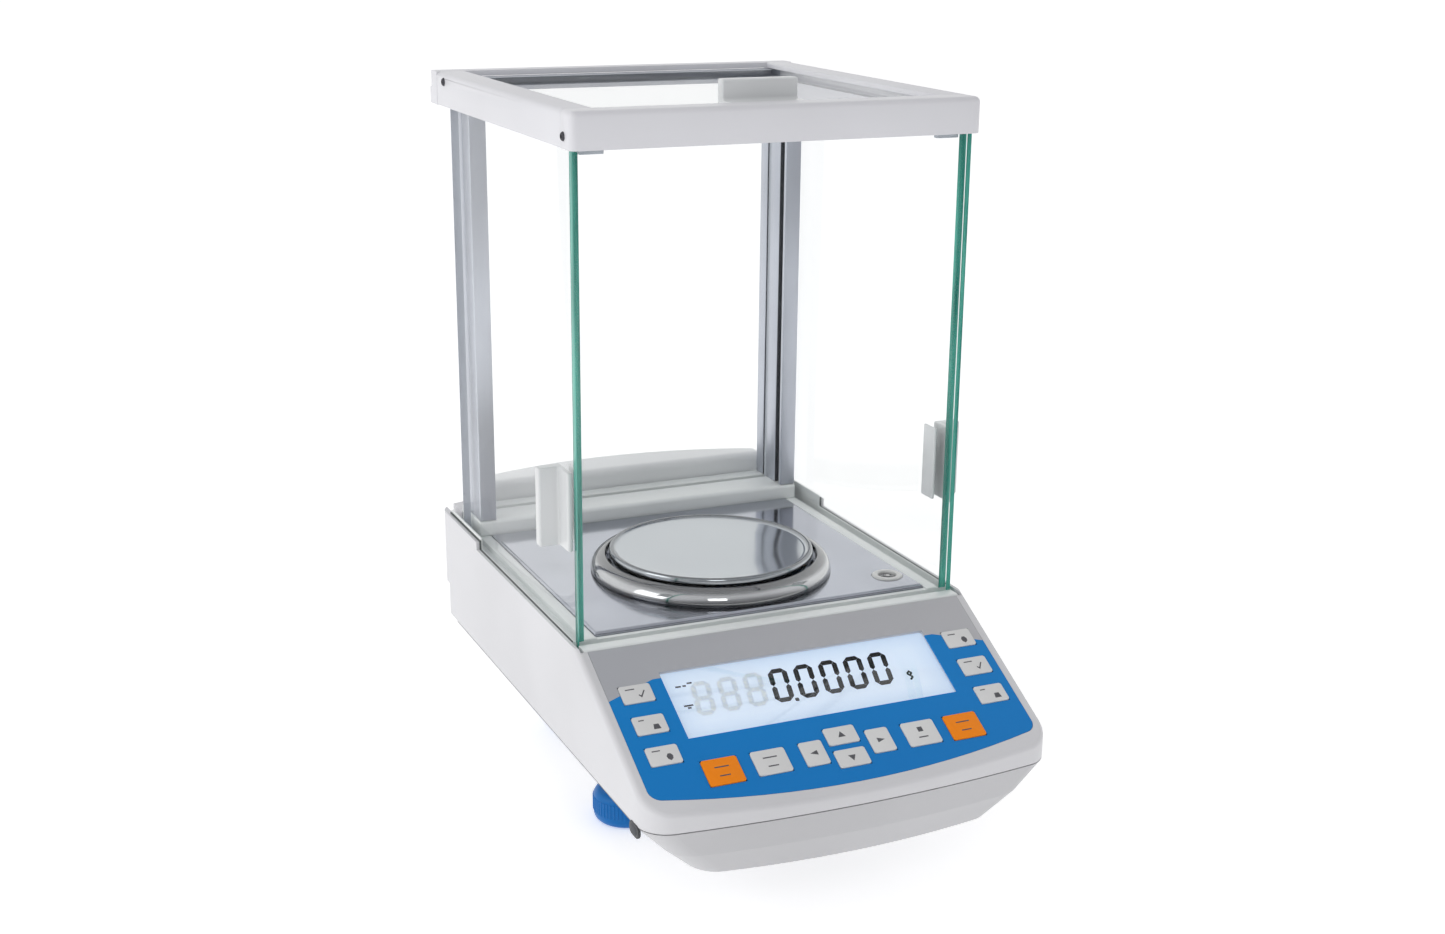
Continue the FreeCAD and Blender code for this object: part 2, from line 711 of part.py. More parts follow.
# The frame's screws: how far back and how high each one is.
FRAME_SCREWS = {
    "front": ("-frame_front + 9", "frame_bottom + 5.2"),
    "rear": ("frame_rear - 24", "frame_bottom + 12"),
}
right_top_rail = side_rail()
node(right_top_rail, "top_rail_right")
node(mirrored("top_rail_left_copy", right_top_rail), "top_rail_left")

front_bar = box("front_bar", "2 * frame_half_width", "front_rail_depth", rail_height,
                "-frame_half_width", "-frame_front", "frame_bottom")
front_bar_ends = rounded("front_bar_ends", front_bar, 3.0, lambda edge: along(Z_AXIS)(edge)
                         and edge.BoundBox.YMax < -size("frame_front") + 1)
front_bar_soft = rounded("front_bar_soft", front_bar_ends, 2.5,
                         lambda edge: edge.BoundBox.ZMin > size("frame_top") - TINY
                         and edge.BoundBox.YMin < -size("frame_front") + 5)
door_pockets = [box("front_bar_pocket_" + side, "glass_thickness + 2 * glass_gap", 4, 6, x, -60.9,
                    "frame_bottom - 1")
                for side, x in (("left", "-glass_half_width - glass_gap"),
                                ("right", "glass_half_width - glass_thickness - glass_gap"))]
front_groove = box("front_bar_groove", "2 * (glass_half_width + 0.1)", "glass_thickness + 0.2",
                   4, "-glass_half_width - 0.1", "-front_glass_face - 0.1", "frame_bottom - 1")
front_bores = [screw_bore("front", sign) for sign in (1, -1)]
node(cut("front_bar_cut", front_bar_soft, front_groove, *door_pockets, *front_bores),
     "top_rail_front")

rear_bar = box("rear_bar", "2 * frame_half_width", "rear_rail_depth",
               "frame_top - rear_rail_bottom", "-frame_half_width",
               "frame_rear - rear_rail_depth", "rear_rail_bottom")
rear_bar_soft = rounded("rear_bar_soft", rear_bar, 2.5, lambda edge:
                        edge.BoundBox.YMin > size("frame_rear") - TINY
                        and not (edge.BoundBox.ZMax < size("rear_rail_bottom") + TINY))
rear_ends = [box("rear_bar_end_" + side, "rail_width", "rear_rail_depth", 8, x,
                 "frame_rear - rear_rail_depth", "frame_bottom")
             for side, x in (("left", "-frame_half_width"),
                             ("right", "frame_half_width - rail_width"))]
rear_grooves = [box("rear_bar_groove_" + side, "glass_thickness + 2 * glass_gap", 40,
                    "door_top - frame_bottom + 1.4", x, 110, "frame_bottom - 1")
                for side, x in (("left", "-glass_half_width - glass_gap"),
                                ("right", "glass_half_width - glass_thickness - glass_gap"))]
lid_slot = box("rear_bar_lid_slot", 172.2, 40, "glass_thickness + 2 * glass_gap", -86.1, 110,
               "top_glass_bottom - glass_gap")
node(cut("rear_bar_cut", fuse("rear_bar_body", rear_bar_soft, *rear_ends), lid_slot,
         *rear_grooves), "top_rail_rear")

screws = []
for sx, side in ((1, "right"), (-1, "left")):
    for end, (y, z) in FRAME_SCREWS.items():
        shank = cylinder(f"screw_{side}_{end}_shank", "screw_radius", "screw_depth + 0.1",
                         f"{sx} * (frame_half_width - screw_depth)", y, z, sx * X_AXIS)
        head = cylinder(f"screw_{side}_{end}_head", "screw_head_radius", "screw_head_height",
                        f"{sx} * frame_half_width", y, z, sx * X_AXIS)
        screws.append(fuse(f"screw_{side}_{end}", shank, head))
node(group("frame_screw_set", screws), "frame_screws")

guides = [box("guide_" + side, 11, 3.2, 2.5, x, "-front_glass_face + 4.3", "frame_bottom - 2.6")
          for side, x in (("left", -90), ("right", 79))]
node(group("front_guide_set", guides), "front_guides")


# ---------------------------------------------------------------- doors and their handles

def handle(name, plane, corners, turn):
    """A grip: an L-shaped bar with soft edges, padded along its own length."""
    bar = pad(name + "_bar", plane, corners, "handle_length")
    return rounded(name + "_soft", bar, 1.1, along(turn))


door_front = "-front_glass_face + glass_thickness + 0.4"
door_pane = box("door_pane", "glass_thickness", "door_length", "door_top - door_bottom",
                "glass_half_width - glass_thickness", door_front, "door_bottom")
right_pane = rounded("door_pane_edges", door_pane, 0.4, along(Z_AXIS))
node(right_pane, "right_door_glass")
node(mirrored("left_pane_copy", right_pane), "left_door_glass")

plate_face = "glass_half_width + handle_plate_thickness"
grip_front = "-front_glass_face + glass_thickness + 1.2"
grip_rear = "-front_glass_face + glass_thickness + 1.2 + handle_plate_width"
wing_front = grip_rear + " - handle_wing_thickness"
side_grip = handle("side_grip", "XY_Plane", [
    ("glass_half_width", grip_front),
    (plate_face, grip_front),
    (plate_face, wing_front),
    (plate_face + " + handle_wing", wing_front),
    (plate_face + " + handle_wing", grip_rear),
    ("glass_half_width", grip_rear),
], Z_AXIS)
bind(side_grip.Base, Placement__Base__z="handle_low + handle_length / 2")
backing = box("grip_backing", 1.6, "handle_plate_width - 7", "handle_length - 1",
              "glass_half_width - glass_thickness - 1.6", grip_front + " + 6.5",
              "handle_low + 0.5")
right_grip = group("right_grip_pair", [side_grip, backing])
node(right_grip, "right_door_handle")
node(mirrored("left_grip_copy", right_grip), "left_door_handle")

lid_pane = box("lid_pane", 171.4, "frame_rear + frame_front - front_rail_depth"
               " - rear_rail_depth + 1.6", "glass_thickness", -85.7,
               "-frame_front + front_rail_depth + 0.2", "top_glass_bottom")
node(rounded("lid_pane_edges", lid_pane, 0.4, along(Y_AXIS)), "top_door_glass")

lid_face = "top_glass_bottom + glass_thickness"
lid_grip_front = "-frame_front + front_rail_depth + 1.5"
lid_grip_rear = "-frame_front + front_rail_depth + 1.5 + handle_plate_width"
lid_grip = handle("lid_grip", "YZ_Plane", [
    (lid_grip_front, lid_face),
    (lid_grip_front, lid_face + " + handle_plate_thickness"),
    (lid_grip_rear + " - handle_wing_thickness", lid_face + " + handle_plate_thickness"),
    (lid_grip_rear + " - handle_wing_thickness",
     lid_face + " + handle_plate_thickness + handle_wing"),
    (lid_grip_rear, lid_face + " + handle_plate_thickness + handle_wing"),
    (lid_grip_rear, lid_face),
], X_AXIS)
node(lid_grip, "top_door_handle")


# ---------------------------------------------------------------- pan and weighing cell

SEAT_RADIUS = "spindle_radius + 0.05"
SEAT_TOP = "pan_height - 4.4"
pan = revolve("pan_turning", [
    (SEAT_RADIUS, "pan_height - 7.5"),
    (8, "pan_height - 7.5"),
    (8, "pan_height - 1.4"),
    ("pan_radius - 1.6", "pan_height - 1.4"),
    ("pan_radius - 1.6", "pan_height - 4"),
    ("pan_radius", "pan_height - 4"),
    ("pan_radius", "pan_height + 1.2"),
    ("pan_radius - 2.2", "pan_height + 1.2"),
    ("pan_radius - 3.4", "pan_height"),
    (0, "pan_height"),
    (0, SEAT_TOP),
    (SEAT_RADIUS, SEAT_TOP),
])
bind(pan, Placement__Base__y="pan_centre")
node(pan, "weighing_pan")

ring = revolve("ring_turning", [
    ("ring_radius - 7", "floor_height"),
    ("ring_radius", "floor_height"),
    ("ring_radius", "floor_height + 3"),
    ("ring_radius - 1.2", "floor_height + 5.4"),
    ("ring_radius - 4", "floor_height + 7.4"),
    ("ring_radius - 7", "floor_height + 8"),
])
bind(ring, Placement__Base__y="pan_centre")
node(ring, "draft_ring")

spindle = cylinder("spindle", "spindle_radius", "pan_height - 4.4 - 86", 0, "pan_centre", 86)
hanger = box("hanger", 18, 18, 27, -9, "pan_centre - 9", 60)
node(fuse("carrier", spindle, rounded("hanger_soft", hanger, 1.0, along(Z_AXIS))), "pan_carrier")

CELL_BOTTOM = 38.2
cell_base = box("cell_base", 56, 84, 6, -28, -2, CELL_BOTTOM)
cell_post = box("cell_post", 48, 20, 50, -24, 62, CELL_BOTTOM)
cell_window = box("cell_window", 26, 40, 22, -13, 52, 54)
cell_arms = [box(f"cell_arm_{side}_{level}", 6, 46, 2, x, 16, z)
             for side, x in (("left", -22), ("right", 16)) for level, z in (("low", 62), ("top", 82))]
node(cut("cell_cut", fuse("cell_body", cell_base, cell_post, *cell_arms), cell_window),
     "load_cell_frame")

COIL_CENTRE = 46.0
beam = box("beam", 10, 40, 8, -5, 16, 68)
coil_outer = cylinder("coil_outer", 10.5, 15, 0, COIL_CENTRE, 54)
coil_inner = cylinder("coil_inner", 8.5, 20, 0, COIL_CENTRE, 50)
coil = cut("coil_ring", coil_outer, coil_inner)
coil_cap = cylinder("coil_cap", 10.5, 2, 0, COIL_CENTRE, 67)
node(fuse("lever_body", beam, coil, coil_cap), "balance_lever")

pot_outer = cylinder("pot_outer", 15, 19, 0, COIL_CENTRE, CELL_BOTTOM + 6.1)
pot_gap = cylinder("pot_gap", 12, 20, 0, COIL_CENTRE, 49)
pot_core = cylinder("pot_core", 7, 14, 0, COIL_CENTRE, 48.5)
node(fuse("magnet_body", cut("pot_shell", pot_outer, pot_gap), pot_core), "magnet_pot")

lifter_base = box("lifter_base", 30, 16, 19, -15, -24, CELL_BOTTOM)
lifter_sides = [box("lifter_side_" + side, 4, 10, 30, x, -21, CELL_BOTTOM)
                for side, x in (("left", -15), ("right", 11))]
node(fuse("lifter", lifter_base, *lifter_sides), "calibration_lifter")
node(cylinder("weight", 8, 18, -9, -16, 69, X_AXIS), "calibration_weight")

board_plate = box("main_board_plate", 128, 34, 1.6, -64, 84, 54)
chips = [box(f"chip_{i}", w, d, tall, x, y, 55) for i, (w, d, tall, x, y) in enumerate((
    (18, 18, 3.0, -20, 92), (12, 8, 2.6, 12, 90), (26, 12, 9.0, -56, 100),
    (14, 14, 6.0, 30, 98), (10, 6, 2.4, 4, 106)))]
node(fuse("main_board_body", board_plate, *chips), "main_board")


# ---------------------------------------------------------------- levelling feet

FOOT_NAMES = ("foot_front_left", "foot_front_right", "foot_rear_left", "foot_rear_right")
for name, (x, y) in zip(FOOT_NAMES, FOOT_CENTRES):
    foot = revolve(name + "_turning", [
        (0, 0),
        ("foot_radius - 3.5", 0),
        ("foot_radius - 1", 1.8),
        ("foot_radius", 5),
        ("foot_radius", "foot_height - 4"),
        ("foot_radius - 1.2", "foot_height - 1.2"),
        ("foot_radius - 3.5", "foot_height"),
        ("stud_radius + 3", "foot_height"),
        ("stud_radius + 3", "foot_height + 4"),
        ("stud_radius", "foot_height + 4"),
        ("stud_radius", "tray_bottom + 15"),
        (0, "tray_bottom + 15"),
    ])
    place(foot, x, y, 0)
    node(foot, name)


# ---------------------------------------------------------------- checks and files

doc.recompute()
faults = [piece.Name for piece in doc.Objects if {"Invalid", "Error"} & set(piece.State)]
for piece in nodes:
    shape = piece.Shape
    if shape.isNull() or not shape.isValid() or not shape.Solids:
        faults.append(piece.Label)
if faults:
    raise RuntimeError("these pieces failed: " + ", ".join(faults))

os.makedirs("parts", exist_ok=True)
for piece in nodes:
    piece.Shape.exportStep(f"parts/{piece.Label}.step")
    print(f"{piece.Label}: {len(piece.Shape.Solids)} solid(s), {piece.Shape.Volume:.0f} mm3")
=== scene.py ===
"""The looks of an analytical balance: housing, glass shield, steel pan and keypad display."""

from __future__ import annotations

import json
import logging
import math
from dataclasses import dataclass, field
from enum import Enum
from typing import Iterable, Sequence

import bmesh
import bpy
from mathutils import Matrix, Vector

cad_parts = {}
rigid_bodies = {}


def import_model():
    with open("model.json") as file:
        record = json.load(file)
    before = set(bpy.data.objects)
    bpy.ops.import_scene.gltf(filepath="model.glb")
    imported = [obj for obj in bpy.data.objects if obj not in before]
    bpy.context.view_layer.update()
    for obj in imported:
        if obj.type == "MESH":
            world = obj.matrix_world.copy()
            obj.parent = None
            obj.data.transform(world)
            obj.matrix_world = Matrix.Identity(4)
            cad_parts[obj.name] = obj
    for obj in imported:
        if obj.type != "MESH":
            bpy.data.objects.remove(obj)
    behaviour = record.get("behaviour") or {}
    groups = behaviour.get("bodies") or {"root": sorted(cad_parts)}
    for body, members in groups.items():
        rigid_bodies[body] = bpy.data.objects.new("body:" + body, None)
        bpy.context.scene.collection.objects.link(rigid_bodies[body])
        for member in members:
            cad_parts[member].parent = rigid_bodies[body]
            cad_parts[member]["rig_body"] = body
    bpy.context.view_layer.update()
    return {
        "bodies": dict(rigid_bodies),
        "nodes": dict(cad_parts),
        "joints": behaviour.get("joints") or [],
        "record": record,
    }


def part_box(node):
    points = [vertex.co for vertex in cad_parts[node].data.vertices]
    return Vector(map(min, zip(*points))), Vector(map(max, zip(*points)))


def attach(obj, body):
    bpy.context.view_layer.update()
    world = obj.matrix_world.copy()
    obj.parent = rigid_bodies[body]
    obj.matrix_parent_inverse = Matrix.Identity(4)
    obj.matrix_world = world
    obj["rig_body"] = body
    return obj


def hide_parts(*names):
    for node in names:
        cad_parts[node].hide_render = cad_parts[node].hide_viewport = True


LOG = logging.getLogger("balance")
MM = 0.001
NOTHING = 1e-7  # a radius that counts as the axis
MERGE_GAP = 1e-6
FLAT_ANGLE = math.radians(0.3)
FINISH_PREFIX = "finish "

Colour = tuple[float, float, float]
Point = tuple[float, float]


# ---------------------------------------------------------------- shader kit


class Value:
    """A number socket that understands arithmetic; each operation adds a Math node."""

    def __init__(self, graph: "Graph", socket: bpy.types.NodeSocket) -> None:
        """Wrap a socket.

        Args:
            graph: the tree that the socket belongs to.
            socket: the output socket to wrap.
        """
        self.graph = graph
        self.socket = socket

    def _math(self, operation: str, first: object, second: object = 0.0) -> "Value":
        """Add one Math node.

        Args:
            operation: the Math node's operation.
            first: its first value or link.
            second: its second value or link.

        Returns:
            The wrapped result.
        """
        node = self.graph.node("ShaderNodeMath", {"operation": operation}, {0: first, 1: second})
        return Value(self.graph, node.outputs[0])

    def __add__(self, other: object) -> "Value":
        """Sum."""
        return self._math("ADD", self, other)

    def __radd__(self, other: object) -> "Value":
        """Reflected sum."""
        return self._math("ADD", other, self)

    def __sub__(self, other: object) -> "Value":
        """Difference."""
        return self._math("SUBTRACT", self, other)

    def __rsub__(self, other: object) -> "Value":
        """Reflected difference."""
        return self._math("SUBTRACT", other, self)

    def __mul__(self, other: object) -> "Value":
        """Product."""
        return self._math("MULTIPLY", self, other)

    def __rmul__(self, other: object) -> "Value":
        """Reflected product."""
        return self._math("MULTIPLY", other, self)

    def __lt__(self, other: object) -> "Value":
        """One where this is less, else zero."""
        return self._math("LESS_THAN", self, other)

    def __abs__(self) -> "Value":
        """Magnitude."""
        return self._math("ABSOLUTE", self)

    def at_least(self, floor: float) -> "Value":
        """This value, but never under a floor."""
        return self._math("MAXIMUM", self, floor)

    def stretched(self, low: float, high: float) -> "Value":
        """Map low..high to 0..1, clamped.

        Args:
            low: the value that becomes zero.
            high: the value that becomes one.

        Returns:
            The clamped result.
        """
        node = self.graph.node("ShaderNodeMapRange", {"clamp": True},
                               {"Value": self, "From Min": low, "From Max": high})
        return Value(self.graph, node.outputs["Result"])


class Graph:
    """A node tree under construction, with one method that adds any node."""

    def __init__(self, tree: bpy.types.NodeTree) -> None:
        """Take over a tree.

        Args:
            tree: the node tree to build in.
        """
        self.tree = tree

    def node(self, kind: str, settings: dict[str, object] | None = None,
             sockets: dict[object, object] | None = None) -> bpy.types.Node:
        """Add a node, set it up, then give its sockets values or links.

        Args:
            kind: the node's type name.
            settings: its properties, set first; "stops" fills a colour ramp.
            sockets: input name or index to a value, a colour or something to link.

        Returns:
            The new node.
        """
        node = self.tree.nodes.new(kind)
        for key, value in (settings or {}).items():
            if key == "stops":
                ramp = node.color_ramp
                for place, _ in value[1:-1]:
                    ramp.elements.new(place)
                for element, (place, colour) in zip(ramp.elements, value):
                    element.position = place
                    element.color = (*colour, 1.0)
            else:
                setattr(node, key, value)
        for key, value in (sockets or {}).items():
            self.feed(node.inputs[key], value)
        return node

    def feed(self, socket: bpy.types.NodeSocket, value: object) -> None:
        """Give an input socket a value or a link.

        Args:
            socket: the input socket.
            value: a number, a colour, a Value, a node or an output socket.
        """
        if isinstance(value, Value):
            self.tree.links.new(value.socket, socket)
        elif isinstance(value, bpy.types.Node):
            self.tree.links.new(value.outputs[0], socket)
        elif isinstance(value, bpy.types.NodeSocket):
            self.tree.links.new(value, socket)
        elif isinstance(value, tuple) and len(value) == 3 and socket.type == "RGBA":
            socket.default_value = (*value, 1.0)
        else:
            socket.default_value = value


class Shader(Graph):
    """A material under construction."""

    def __init__(self, name: str) -> None:
        """Make an empty node material.

        Args:
            name: the material's name.
        """
        self.material = bpy.data.materials.new(FINISH_PREFIX + name)
        self.material.use_nodes = True
        super().__init__(self.material.node_tree)
        self.tree.nodes.clear()
        self.output = self.tree.nodes.new("ShaderNodeOutputMaterial")
        self._place: bpy.types.Node | None = None

    def place(self) -> bpy.types.NodeSocket:
        """The piece's own Object coordinates.

        Returns:
            The coordinates' socket, made once per material.
        """
        if self._place is None:
            self._place = self.node("ShaderNodeTexCoord")
        return self._place.outputs["Object"]

    def axis(self, name: str) -> Value:
        """One Object coordinate.

        Args:
            name: "X", "Y" or "Z".

        Returns:
            That coordinate in metres.
        """
        split = self.node("ShaderNodeSeparateXYZ", None, {0: self.place()})
        return Value(self, split.outputs[name])

    def noise(self, size: float, detail: float = 3.0,
              stretch: Sequence[float] = (1, 1, 1)) -> Value:
        """A noise of a stated grain size.

        Args:
            size: the grain size in metres.
            detail: the noise's detail.
            stretch: how far each axis is squeezed, for brushed grain.

        Returns:
            The noise, from 0 to 1.
        """
        moved = self.node("ShaderNodeMapping", None,
                          {"Vector": self.place(), "Scale": tuple(stretch)})
        grain = self.node("ShaderNodeTexNoise", None,
                          {"Vector": moved, "Scale": 1.0 / size, "Detail": detail})
        return Value(self, grain.outputs[0])

    def mix(self, factor: object, first: object, second: object) -> bpy.types.NodeSocket:
        """A colour between two colours.

        Args:
            factor: 0 gives first, 1 gives second.
            first: a colour or link.
            second: a colour or link.

        Returns:
            The mixed colour's socket.
        """
        node = self.node("ShaderNodeMix", {"data_type": "RGBA"})
        self.feed(node.inputs[0], factor)
        self.feed(node.inputs[6], first)
        self.feed(node.inputs[7], second)
        return node.outputs[2]

    def bump(self, height: Value, depth: float, strength: float = 1.0) -> bpy.types.NodeSocket:
        """A bump normal.

        Args:
            height: the height pattern.
            depth: its full height in metres.
            strength: how strongly it counts.

        Returns:
            The normal's socket.
        """
        node = self.node("ShaderNodeBump", None,
                         {"Strength": strength, "Distance": depth, "Height": height})
        return node.outputs["Normal"]

    def surface(self, **sockets: object) -> bpy.types.Node:
        """Finish with a Principled surface.

        Args:
            sockets: input names with spaces as underscores, and their values.

        Returns:
            The Principled node.
        """
        named = {key.replace("_", " "): value for key, value in sockets.items()}
        node = self.node("ShaderNodeBsdfPrincipled", None, named)
        self.tree.links.new(node.outputs[0], self.output.inputs["Surface"])
        return node


# ---------------------------------------------------------------- the sloped panel


@dataclass(frozen=True)
class Slope:
    """The plane of the sloped display panel: x across, y up the slope, z outwards."""

    edge: float = -72.5 * MM
    height: float = 111.1 * MM
    tilt: float = math.radians(27.4)
    back: float = 17.5 * MM
    front: float = 55.5 * MM

    def matrix(self) -> Matrix:
        """The panel's frame in the balance's frame."""
        return Matrix.Translation((0, self.edge, self.height)) @ Matrix.Rotation(self.tilt, 4, "X")

    def down(self, shader: Shader) -> Value:
        """The distance down the slope from its back edge, in metres."""
        forward = (self.edge - shader.axis("Y")) * math.cos(self.tilt)
        return forward + (self.height - shader.axis("Z")) * math.sin(self.tilt)


SLOPE = Slope()


# ---------------------------------------------------------------- finishes


@dataclass(frozen=True)
class Plastic:
    """A moulded plastic with a fine spark-eroded grain."""

    name: str
    colour: Colour
    roughness: float = 0.42
    grain: float = 0.0006
    depth: float = 0.00002
    coat: float = 0.0
    gloss: float = 0.5
    cloud: float = 0.09
    shade: float = 0.93

    def make(self) -> bpy.types.Material:
        """Build the material.

        Returns:
            The material.
        """
        shader = Shader(self.name)
        cloud = shader.noise(self.cloud, 2.0)
        fine = shader.noise(self.grain, 2.0)
        dark = tuple(self.shade * c for c in self.colour)
        colour = shader.mix(cloud.stretched(0.35, 0.65), dark, self.colour)
        shader.surface(
            Base_Color=colour,
            Roughness=self.roughness + 0.12 * (fine - 0.5) + 0.05 * (cloud - 0.5),
            Specular_IOR_Level=self.gloss,
            Coat_Weight=self.coat,
            Coat_Roughness=0.15,
            Normal=shader.bump(fine, self.depth),
        )
        return shader.material


@dataclass(frozen=True)
class Metal:
    """A bare or plated metal, with an optional brushed grain."""

    name: str
    colour: Colour
    roughness: float
    stretch: tuple[float, float, float] = (1, 1, 1)
    grain: float = 0.0008
    depth: float = 0.000004
    metallic: float = 1.0
    haze: float = 0.05
    shade: float = 0.86

    def make(self) -> bpy.types.Material:
        """Build the material.

        Returns:
            The material.
        """
        shader = Shader(self.name)
        lines = shader.noise(self.grain, 3.0, self.stretch)
        haze = shader.noise(self.haze, 2.0)
        dark = tuple(self.shade * c for c in self.colour)
        colour = shader.mix(haze.stretched(0.3, 0.7), dark, self.colour)
        shader.surface(
            Base_Color=colour,
            Metallic=self.metallic,
            Roughness=self.roughness + 0.06 * (lines - 0.5) + 0.04 * haze,
            Normal=shader.bump(lines, self.depth),
        )
        return shader.material


@dataclass(frozen=True)
class TurnedSteel:
    """A polished turned metal whose colour carries painted reflection and painted shade: a tone
    for each height, in millimetres.
    """

    name: str
    tones: tuple[Point, ...]
    roughness: float
    tint: Colour = (0.97, 0.98, 1.0)
    haze: Colour = (0.3, 0.3, 0.32)
    haze_share: float = 0.12
    haze_size: float = 0.04
    swirl_size: float = 0.0006
    swirl_depth: float = 0.000003

    def make(self) -> bpy.types.Material:
        """Build the material.

        Returns:
            The material.
        """
        shader = Shader(self.name)
        # Painted light: the tones paint dark and bright reflection bands and shade by height.
        low, high = self.tones[0][0] * MM, self.tones[-1][0] * MM
        height = shader.axis("Z").stretched(low, high)
        stops = [((z * MM - low) / (high - low), tuple(tone * c for c in self.tint))
                 for z, tone in self.tones]
        colour = shader.node("ShaderNodeValToRGB", {"stops": stops}, {0: height})
        swirl = shader.noise(self.swirl_size, 2.0)
        haze = shader.noise(self.haze_size, 2.0)
        shader.surface(
            Base_Color=shader.mix(haze * self.haze_share, colour.outputs[0], self.haze),
            Metallic=1.0,
            Roughness=self.roughness + 0.03 * haze,
            Normal=shader.bump(swirl, self.swirl_depth),
        )
        return shader.material


@dataclass(frozen=True)
class ClearGlass:
    """Thin float glass: see-through, with a faint green body and a clean gloss."""

    name: str = "clear_glass"
    tint: Colour = (0.995, 0.998, 0.997)
    gloss: float = 0.13
    index: float = 1.45
    wipe: float = 0.12

    def make(self) -> bpy.types.Material:
        """Build the material.

        Returns:
            The material.
        """
        shader = Shader(self.name)
        through = shader.node("ShaderNodeBsdfTransparent", None, {"Color": self.tint})
        shine = shader.node("ShaderNodeBsdfGlossy", None,
                            {"Color": (1.0, 1.0, 1.0), "Roughness": 0.02})
        fresnel = shader.node("ShaderNodeFresnel", None, {"IOR": self.index})
        wipe = shader.noise(self.wipe, 1.0).stretched(0.2, 0.8)
        share = Value(shader, fresnel.outputs[0]) * self.gloss * (0.9 + 0.1 * wipe)
        blend = shader.node("ShaderNodeMixShader", None, {0: share, 1: through, 2: shine})
        shader.tree.links.new(blend.outputs[0], shader.output.inputs["Surface"])
        return shader.material


@dataclass(frozen=True)
class GlassEdge:
    """A ground glass edge, where the green of the glass gathers, lit by a painted glow along its
    streaks.
    """

    name: str = "glass_edge"
    deep: Colour = (0.015, 0.15, 0.12)
    pale: Colour = (0.10, 0.42, 0.34)
    streak: float = 0.004
    glow: float = 0.18

    def make(self) -> bpy.types.Material:
        """Build the material.

        Returns:
            The material.
        """
        shader = Shader(self.name)
        streaks = shader.noise(self.streak, 3.0, (1, 1, 0.06))
        colour = shader.mix(streaks.stretched(0.35, 0.7), self.deep, self.pale)
        # Painted light: the emission is a painted glow in the streaked green.
        glow = shader.mix(streaks.stretched(0.3, 0.7), self.deep, self.pale)
        shader.surface(Base_Color=colour, Roughness=0.18 + 0.1 * streaks, Emission_Color=glow,
                       Emission_Strength=self.glow, Specular_IOR_Level=0.6)
        return shader.material


@dataclass(frozen=True)
class PrintedFilm:
    """The keypad's printed polyester film: blue, with a grey band across its top; painted shade
    deepens the blue down the slope, and painted light pales the grey towards the right.
    """

    slope: Slope = SLOPE
    name: str = "printed_film"
    blue: Colour = (0.001, 0.225, 0.62)
    deep_blue: Colour = (0.001, 0.19, 0.56)
    grey: Colour = (0.43, 0.44, 0.47)
    pale_grey: Colour = (0.50, 0.50, 0.52)
    band: float = 0.0207
    band_corner: float = 0.070
    band_fall: float = 0.36
    cloud: float = 0.05
    weave: float = 0.0004
    weave_depth: float = 0.000008

    def make(self) -> bpy.types.Material:
        """Build the material.

        Returns:
            The material.
        """
        shader = Shader(self.name)
        across = abs(shader.axis("X"))
        down = self.slope.down(shader)
        edge = self.band + self.band_fall * (across - self.band_corner).at_least(0.0)
        grey_part = down < edge
        cloud = shader.noise(self.cloud, 2.0)
        film = shader.noise(self.weave, 2.0)
        # Painted shade: the blue deepens down the slope, mixed with a random cloud.
        blend = down.stretched(0.03, 0.1) * 0.6 + 0.4 * cloud
        blue = shader.mix(blend, self.blue, self.deep_blue)
        # Painted light: the grey band pales towards the right.
        grey = shader.mix(shader.axis("X").stretched(-0.1, 0.1), self.grey, self.pale_grey)
        shader.surface(Base_Color=shader.mix(grey_part, blue, grey),
                       Roughness=0.38 + 0.08 * (film - 0.5),
                       Normal=shader.bump(film, self.weave_depth), Specular_IOR_Level=0.22)
        return shader.material


@dataclass(frozen=True)
class LitDisplay:
    """The backlit display: pale, with painted shade that darkens it from the middle towards its
    rim.
    """

    slope: Slope = SLOPE
    name: str = "lit_display"
    rim: Colour = (0.56, 0.68, 0.84)
    middle: Colour = (0.66, 0.76, 0.90)
    glow: float = 0.37
    cell: float = 0.0003
    core: float = 0.55

    def make(self) -> bpy.types.Material:
        """Build the material.

        Returns:
            The material.
        """
        shader = Shader(self.name)
        # Painted shade: the face darkens towards its rim, across and along.
        across = abs(shader.axis("X")).stretched(0.066, 0.054)
        centre = (self.slope.front + self.slope.back) / 2
        half = (self.slope.front - self.slope.back) / 2
        along = abs(self.slope.down(shader) - centre).stretched(half, half * self.core)
        cells = shader.noise(self.cell, 1.0)
        lit = across * along * 0.95 + 0.05 * cells
        colour = shader.mix(lit, self.rim, self.middle)
        shader.surface(Base_Color=colour, Roughness=0.25 + 0.04 * cells, Emission_Color=colour,
                       Emission_Strength=self.glow, Specular_IOR_Level=0.2)
        return shader.material


@dataclass(frozen=True)
class Ink:
    """A printed or liquid-crystal mark with a slightly uneven density."""

    name: str
    colour: Colour
    roughness: float = 0.4
    patch: float = 0.002

    def make(self) -> bpy.types.Material:
        """Build the material.

        Returns:
            The material.
        """
        shader = Shader(self.name)
        patch = shader.noise(self.patch, 2.0)
        pale = tuple(min(1.0, c * 1.25 + 0.01) for c in self.colour)
        shader.surface(Base_Color=shader.mix(patch.stretched(0.3, 0.8), self.colour, pale),
                       Roughness=self.roughness + 0.1 * (patch - 0.5), Specular_IOR_Level=0.12)
        return shader.material


